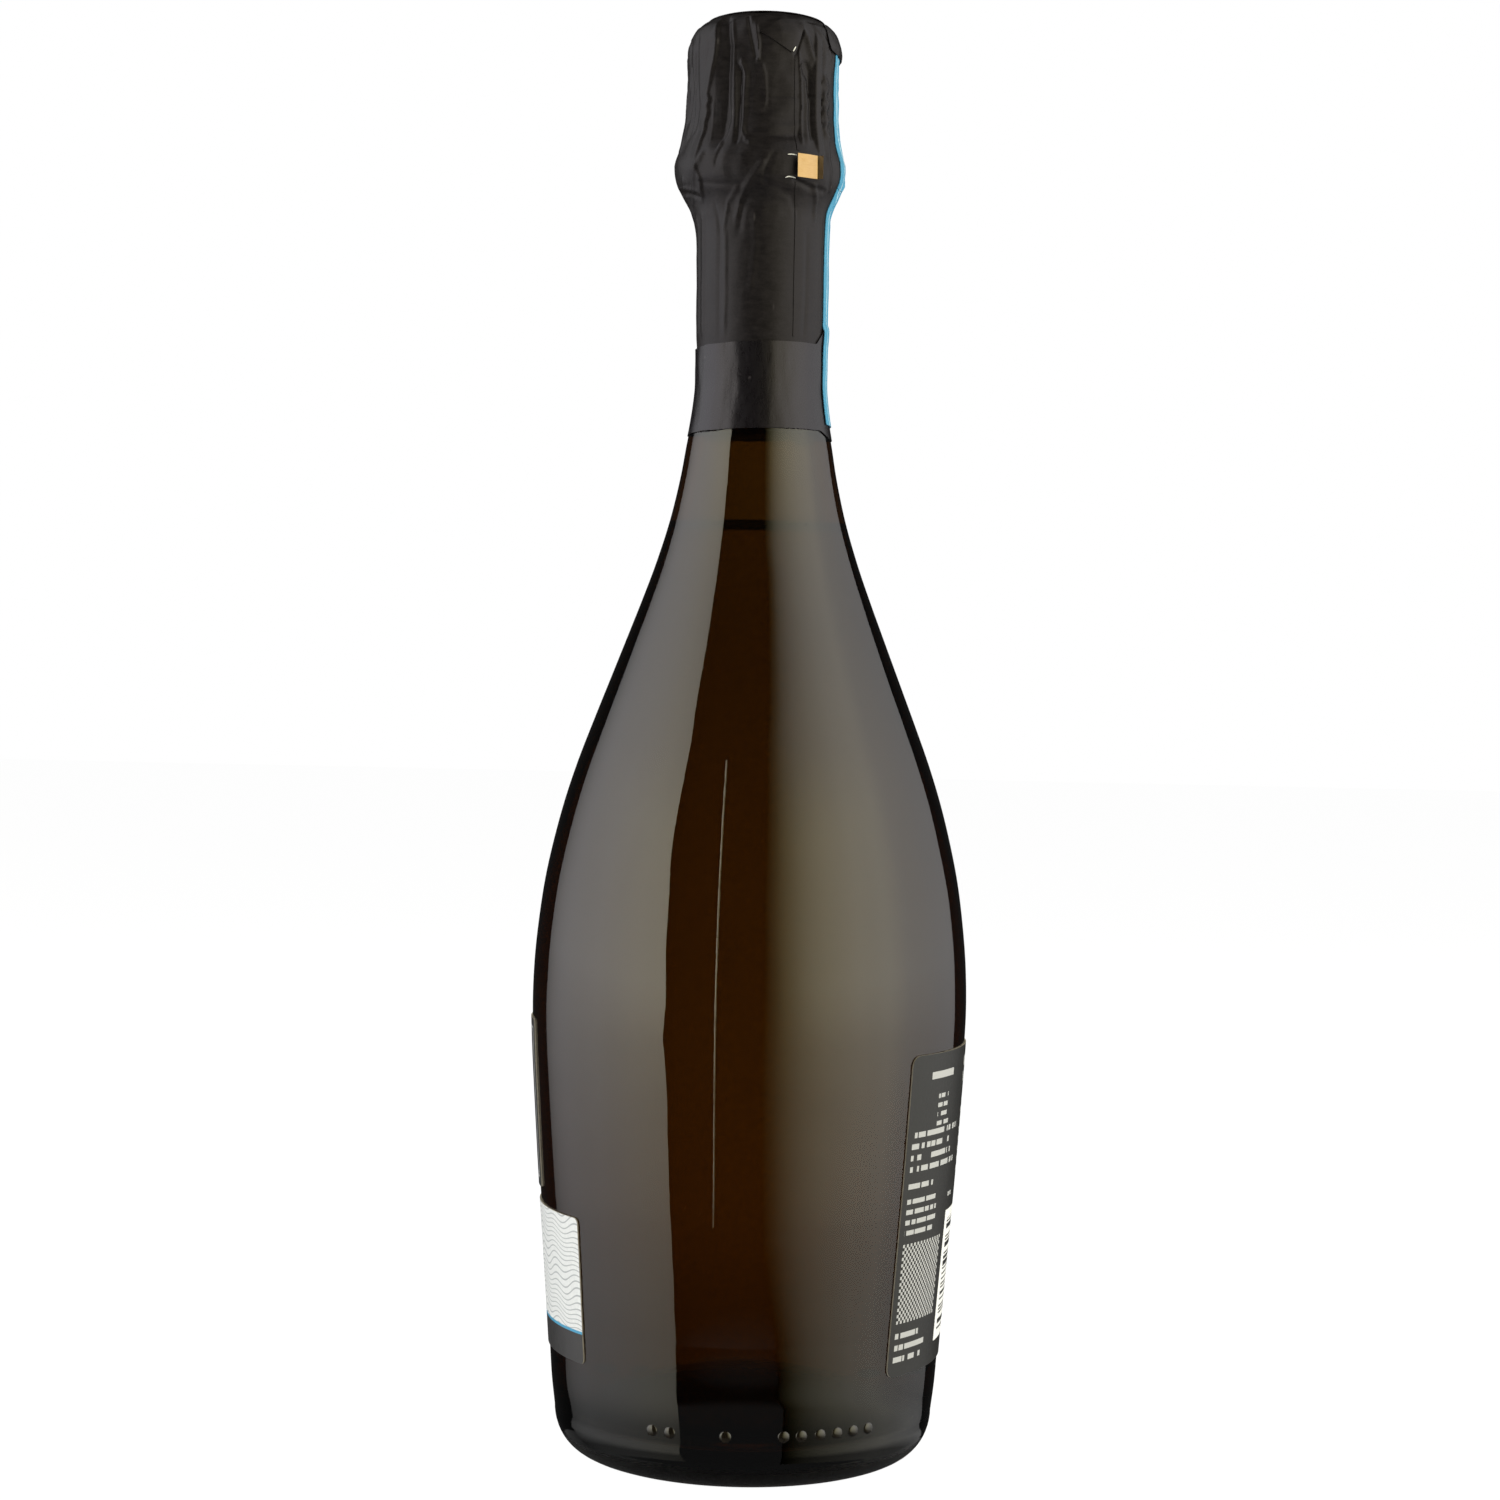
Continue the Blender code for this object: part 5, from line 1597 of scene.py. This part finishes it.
def make_tab():
    """The pull tab, from a flat grid turned up at its free end."""
    shape = bmesh.new()
    bmesh.ops.create_grid(shape, x_segments=56, y_segments=16, size=0.5)
    along = Vector((math.cos(TAB_BEARING), math.sin(TAB_BEARING), 0))
    out = towards(TAB_BEARING, 1, 0)
    for spot in shape.verts:
        forward, lift = tab_point((spot.co.x + 0.5) * TAB_LENGTH)
        wave = noise.noise(Vector((spot.co.x * 3, spot.co.y * 2, 1))) * 0.00008
        height = spot.co.y * TAB_HEIGHT * (1 - TAB_TAPER * max(0, spot.co.x - 0.1))
        spot.co = TAB_HINGE + along * forward + out * (lift + wave - TAB_SINK) + Vector((0, 0, height))
    face_out(shape)
    made = piece("gold_pull_tab", shape, "tab", [GOLD], ["tear_tab"])
    return thicken(made, TAB_SKIN, False)


# Each slit: its half width and its lift in millimetres, and its line.
SLITS = (
    (0.11, 0.1, ((116.5, 273.85), (119.5, 273.95), (123, 273.85))),
    (0.11, 0.1, ((115.6, 269.1), (118, 269.35), (123.5, 269.2))),
    (0.27, 0.5, ((121.4, 295.8), (122.5, 296.2), (123.6, 296.7))),
)
SLIT_SKIN = 0.0001
TORN_TONES = (linear(190, 190, 186), linear(236, 236, 232))
TORN_METAL = grained("torn_foil_edge", 1800.0, 1.0, TORN_TONES, depth=0.00003, Roughness=0.45)


def make_slits():
    """Two slits beside the tab and the flap's torn tip, their cut edges turned out and bright."""
    shape = bmesh.new()
    for half, lift, line in SLITS:
        points = smooth([(math.radians(bearing), height * MM) for bearing, height in line], 8)
        tops = []
        for step, (bearing, height) in enumerate(points):
            thin = 0.35 + 0.65 * math.sin(math.pi * step / (len(points) - 1))
            radius = under_seal(bearing, height) + lift * MM
            tops.append((towards(bearing, radius, height), half * MM * thin))
        lower = [shape.verts.new(spot - Vector((0, 0, size))) for spot, size in tops]
        edges = [shape.edges.new(pair) for pair in zip(lower, lower[1:])]
        lifted = bmesh.ops.extrude_edge_only(shape, edges=edges)["geom"]
        raised = [each for each in lifted if isinstance(each, bmesh.types.BMVert)]
        raised.sort(key=lambda spot: math.atan2(spot.co.x, -spot.co.y))
        for spot, (centre, size) in zip(raised, tops):
            spot.co = centre + Vector((0, 0, size))
    face_out(shape)
    made = piece("tear_slits", shape, "capsule", [TORN_METAL])
    return thicken(made, SLIT_SKIN, True)


make_tab()
make_slits()

# %% [markdown]
# ## Cork
# A sparkling wine cork is a body of pressed cork granules with two discs of whole cork glued below it.
# Squeezed into the bore it keeps a straight stem, and the part above the lip swells to a mushroom
# head. The body is one spun outline with a slightly lumpy surface, and the granules are cells in its
# material. The discs show growth lines and dark pores instead.

# %% Cork finishes
CORK_FOOT = 263.0
GRANULES = {"Scale": 520.0}
CORK_GRAIN = {"Scale": 1300.0, "Upright": 1.0}


def pressed_cork():
    """Granules of light and dark cork, with fine gaps between them."""
    made, tree, shader = finish("pressed_cork_granules", Roughness=0.85)
    spot = place_in(tree)
    cells = add(tree, "TexVoronoi", {"Vector": spot, **GRANULES})
    tone = add(tree, "SeparateColor", {0: cells.outputs["Color"]}).outputs[0]
    gaps = add(tree, "TexVoronoi", {"Vector": spot, **GRANULES}, feature="DISTANCE_TO_EDGE").outputs[0]
    grain = use(tree, GRAIN, Vector=spot, **CORK_GRAIN)
    light = mixed(tree, tone, linear(168, 122, 78), linear(210, 172, 124))
    dusky = mixed(tree, times(tree, ranged(tree, grain, 0.6, 1.1), 0.5), light, linear(120, 80, 48))
    paint(tree, shader, mixed(tree, ranged(tree, gaps, 0.09, 0.0), dusky, linear(96, 62, 38)))
    first = bump(tree, shader, ranged(tree, gaps, 0.0, 0.12), 0.0001)
    bump(tree, shader, grain, 0.00008, first)
    return made


def whole_cork():
    """Whole cork: growth lines across the disc and dark pores."""
    made, tree, shader = finish("whole_cork_disc", Roughness=0.8)
    spot = place_in(tree)
    growth = {"Vector": spot, "Scale": 95.0, "Distortion": 5.0, "Detail": 3.0}
    lines = add(tree, "TexWave", growth).outputs[1]
    pores = use(tree, SPECKS, Vector=stretched(tree, spot, 2.5), Scale=480.0, Amount=0.28, Size=0.32)
    grain = use(tree, GRAIN, Vector=spot, **CORK_GRAIN)
    base = mixed(tree, times(tree, lines, 0.55), linear(206, 164, 112), linear(176, 130, 84))
    paint(tree, shader, mixed(tree, pores, base, linear(88, 56, 34)))
    first = bump(tree, shader, times(tree, pores, -1.0), 0.0002)
    bump(tree, shader, grain, 0.00006, first)
    return made


# %% Cork body and discs
CORK_LINE = in_mm(
    (0, 275.05), (8.3, 275.05), (8.6, 275.35), (8.6, 287.2), (8.7, 287.85), (13.1, 287.95), (13.6, 288.5),
    (14.0, 290.6), (14.05, 293.0), (14.05, 296.0), (13.8, 298.2), (13.0, 299.8), (11.9, 300.7),
    (10.4, 301.05), (0, 301.05),
)
STEM_RADIUS = 8.6
DISC_HEIGHT = 5.72
DISC_PITCH = 6
DISC_EDGE = 0.25


def make_cork_body():
    """The granule body: a straight stem and a mushroom head."""
    shape = turned(evened(CORK_LINE, 0.0006), steps=120)
    for spot in shape.verts:
        if spot.co.xy.length > 0.002 and spot.co.z > 0.2882:
            push_out(spot, noise.noise(spot.co * 420) * 0.00012 - 0.00008)
    return piece("cork_granule_body", shape, "cork", [pressed_cork()], ["cork_body"])


def make_cork_disc(name, low, node, look):
    """One whole cork disc with eased edges."""
    high = low + DISC_HEIGHT
    inner = STEM_RADIUS - DISC_EDGE
    side = ((STEM_RADIUS, low + DISC_EDGE), (STEM_RADIUS, high - DISC_EDGE))
    outline = in_mm((0, low), (inner, low), *side, (inner, high), (0, high))
    shape = turned(evened(outline, 0.0008), steps=96)
    return piece(name, shape, "cork", [look], [node])


WHOLE_CORK = whole_cork()
make_cork_body()
make_cork_disc("cork_disc_near_wine", CORK_FOOT, "cork_disc_lower", WHOLE_CORK)
make_cork_disc("cork_disc_middle", CORK_FOOT + DISC_PITCH, "cork_disc_upper", WHOLE_CORK)

# %% [markdown]
# ## Plaque and wire cage
# A pressed tin cap protects the cork from the wire, and the cage holds it down: a ring on top, four
# legs, and a belt that is drawn tight under the string rim and ends in a loop. Each leg is two thin
# wires twisted together. A ring of points could be swept along a path by hand, but that is longer to
# write than a curve with a bevel, so curves are used, and two strands wind round the leg's path.

# %% Plaque
PLAQUE_TOP = in_mm(
    (13.5, 300.55), (13.45, 300.9), (13.15, 301.3), (12.6, 301.72), (12.0, 301.9), (9.4, 301.9),
    (9.1, 302.1), (8.8, 302.7), (8.5, 303.0), (7.6, 303.1), (7.2, 303.02), (6.8, 303.1), (3.4, 303.1),
    (3.1, 303.0), (2.8, 303.1), (0, 303.1),
)
TIN_SKIN = 0.00035
TIN_TONES = (linear(196, 196, 192), linear(222, 221, 216))
TIN_MARKS = (420.0, 0.08, 0.3, 0.5, linear(150, 150, 148))
TIN = grained("plaque_tinplate", 500.0, 1.0, TIN_TONES, rough=(0.4, 1.1, 0.2, 0.36), depth=0.00002,
              marks=TIN_MARKS, Metallic=1.0, Roughness=0.28)


def make_plaque():
    """The pressed cap, one skin with its thickness."""
    shape = turned([*by_length(PLAQUE_TOP[:-1], 0.0004), PLAQUE_TOP[-1]], closed=False, steps=120)
    if sum(face.normal.z for face in shape.faces) < 0:
        bmesh.ops.reverse_faces(shape, faces=shape.faces)
    made = piece("plaque_cap", shape, "muselet", [TIN], ["plaque"])
    return thicken(made, TIN_SKIN, False)


make_plaque()

# %% Wire cage
WIRE = 0.0005
STRAND = 0.00027
TWIST_PITCH = 0.0032
RING_RADIUS = 0.0110
RING_HEIGHT = 0.3027
BELT_RADIUS = 0.0142
BELT_HEIGHT = 0.2699
LEG_PATH = in_mm(
    (11.5, 302.72), (12.6, 302.7), (13.9, 301.9), (14.8, 300.4), (15.1, 298.9), (15.1, 290), (15.1, 281.5),
    (15.6, 279.1), (16.2, 276.7), (16.4, 275.4), (16.4, 272.1), (16.1, 270.9), (15.2, 269.3), (14.3, 268.7),
)
LOOP_BEARING = 10
LOOP_STEM = 2.9
LOOP_HALF = 19
LOOP_PATH = in_mm(
    (14.2, 269.9), (15.0, 270.0), (16.1, 270.9), (16.4, 272.1), (16.4, 275.4), (16.2, 276.7), (15.6, 279.1),
    (15.15, 281.0),
)
LOOP_RADIUS = 0.0151
LOOP_HEIGHTS = (281.5, 293.0)
ZINC_TONES = (linear(138, 138, 136), linear(196, 196, 192))
ZINC = grained("galvanised_wire", 1500.0, 0.3, ZINC_TONES, rough=(0.4, 1.1, 0.3, 0.5), depth=0.00002,
               Metallic=1.0, Roughness=0.38)


def wire_piece(name, strands, thickness, node, cyclic=False):
    """Round wire along lists of points, made a mesh once its shape is right."""
    curve = bpy.data.curves.new(name, "CURVE")
    curve.dimensions = "3D"
    curve.bevel_depth = thickness
    curve.bevel_resolution = 3
    curve.use_fill_caps = True
    for points in strands:
        spline = curve.splines.new("POLY")
        spline.points.add(len(points) - 1)
        for spot, point in zip(spline.points, points):
            spot.co = (*point, 1)
        spline.use_cyclic_u = cyclic
    draft = bpy.data.objects.new(name + "_draft", curve)
    bpy.context.scene.collection.objects.link(draft)
    made = bpy.data.meshes.new_from_object(draft.evaluated_get(bpy.context.evaluated_depsgraph_get()))
    bpy.data.objects.remove(draft)
    bpy.data.curves.remove(curve)
    shape = bmesh.new()
    shape.from_mesh(made)
    bmesh.ops.remove_doubles(shape, verts=shape.verts, dist=MERGE / 4)
    bpy.data.meshes.remove(made)
    bmesh.ops.recalc_face_normals(shape, faces=shape.faces)
    return piece(name, shape, "muselet", [ZINC], [node])


def even_points(points, step):
    """3D points an even step apart along a line."""
    made = [points[0]]
    left = step
    for start, end in zip(points, points[1:]):
        gone = 0.0
        length = (end - start).length
        while length - gone >= left:
            gone += left
            made.append(start.lerp(end, gone / length))
            left = step
        left -= length - gone
    return [*made, points[-1]]


def twisted(points, radius, pitch):
    """Two strands wound round a path. They come together at its two ends."""
    strands = ([], [])
    length = sum((end - start).length for start, end in zip(points, points[1:]))
    gone = 0.0
    for index, spot in enumerate(points):
        before = points[max(index - 1, 0)]
        after = points[min(index + 1, len(points) - 1)]
        gone += (spot - before).length
        along = (after - before).normalized()
        out = Vector((spot.x, spot.y, 0)).normalized()
        side = along.cross(out).normalized()
        up = side.cross(along).normalized()
        turn = math.tau * gone / pitch
        calm = min(gone, length - gone, 0.001) / 0.001
        for strand, start in zip(strands, (0, math.pi)):
            reach = side * math.cos(turn + start) + up * math.sin(turn + start)
            strand.append(spot + reach * radius * calm)
    return strands


def loop_half(side):
    """One side of the loop, out from the belt over the rim and up round its oval."""
    stem = math.radians(LOOP_BEARING + side * LOOP_STEM)
    points = [towards(stem, radius, height) for radius, height in LOOP_PATH]
    low, high = LOOP_HEIGHTS
    for step in range(1, 13):
        turn = math.pi * step / 12
        spread = min(LOOP_HALF * math.sin(turn) + LOOP_STEM * (1 - step / 12), LOOP_HALF)
        height = low + (high - low) * (1 - math.cos(turn)) / 2
        points.append(towards(math.radians(LOOP_BEARING + side * spread), LOOP_RADIUS, height * MM))
    return smooth(points, 4)


def make_cage():
    """The cage: ring, four twisted legs, and the belt with its loop."""
    ring = [towards(math.tau * step / 96, RING_RADIUS, RING_HEIGHT) for step in range(96)]
    wire_piece("cage_crown_ring", [ring], WIRE, "cage_ring", True)
    for number, bearing in enumerate(WIRE_BEARINGS, 1):
        path = [towards(math.radians(bearing), radius, height) for radius, height in smooth(LEG_PATH, 8)]
        strands = twisted(even_points(path, 0.0003), STRAND * 0.95, TWIST_PITCH)
        wire_piece(f"cage_twisted_leg_{number}", strands, STRAND, f"cage_leg_{number}")
    start = LOOP_BEARING + LOOP_STEM
    round_neck = 360 - 2 * LOOP_STEM
    turns = [math.radians(start + round_neck * step / 90) for step in range(1, 90)]
    belt = [towards(turn, BELT_RADIUS, BELT_HEIGHT) for turn in turns]
    route = belt + loop_half(-1) + loop_half(1)[-2::-1]
    wire_piece("cage_belt_loop", [even_points(route, 0.0005)[:-1]], WIRE, "cage_belt", True)


make_cage()
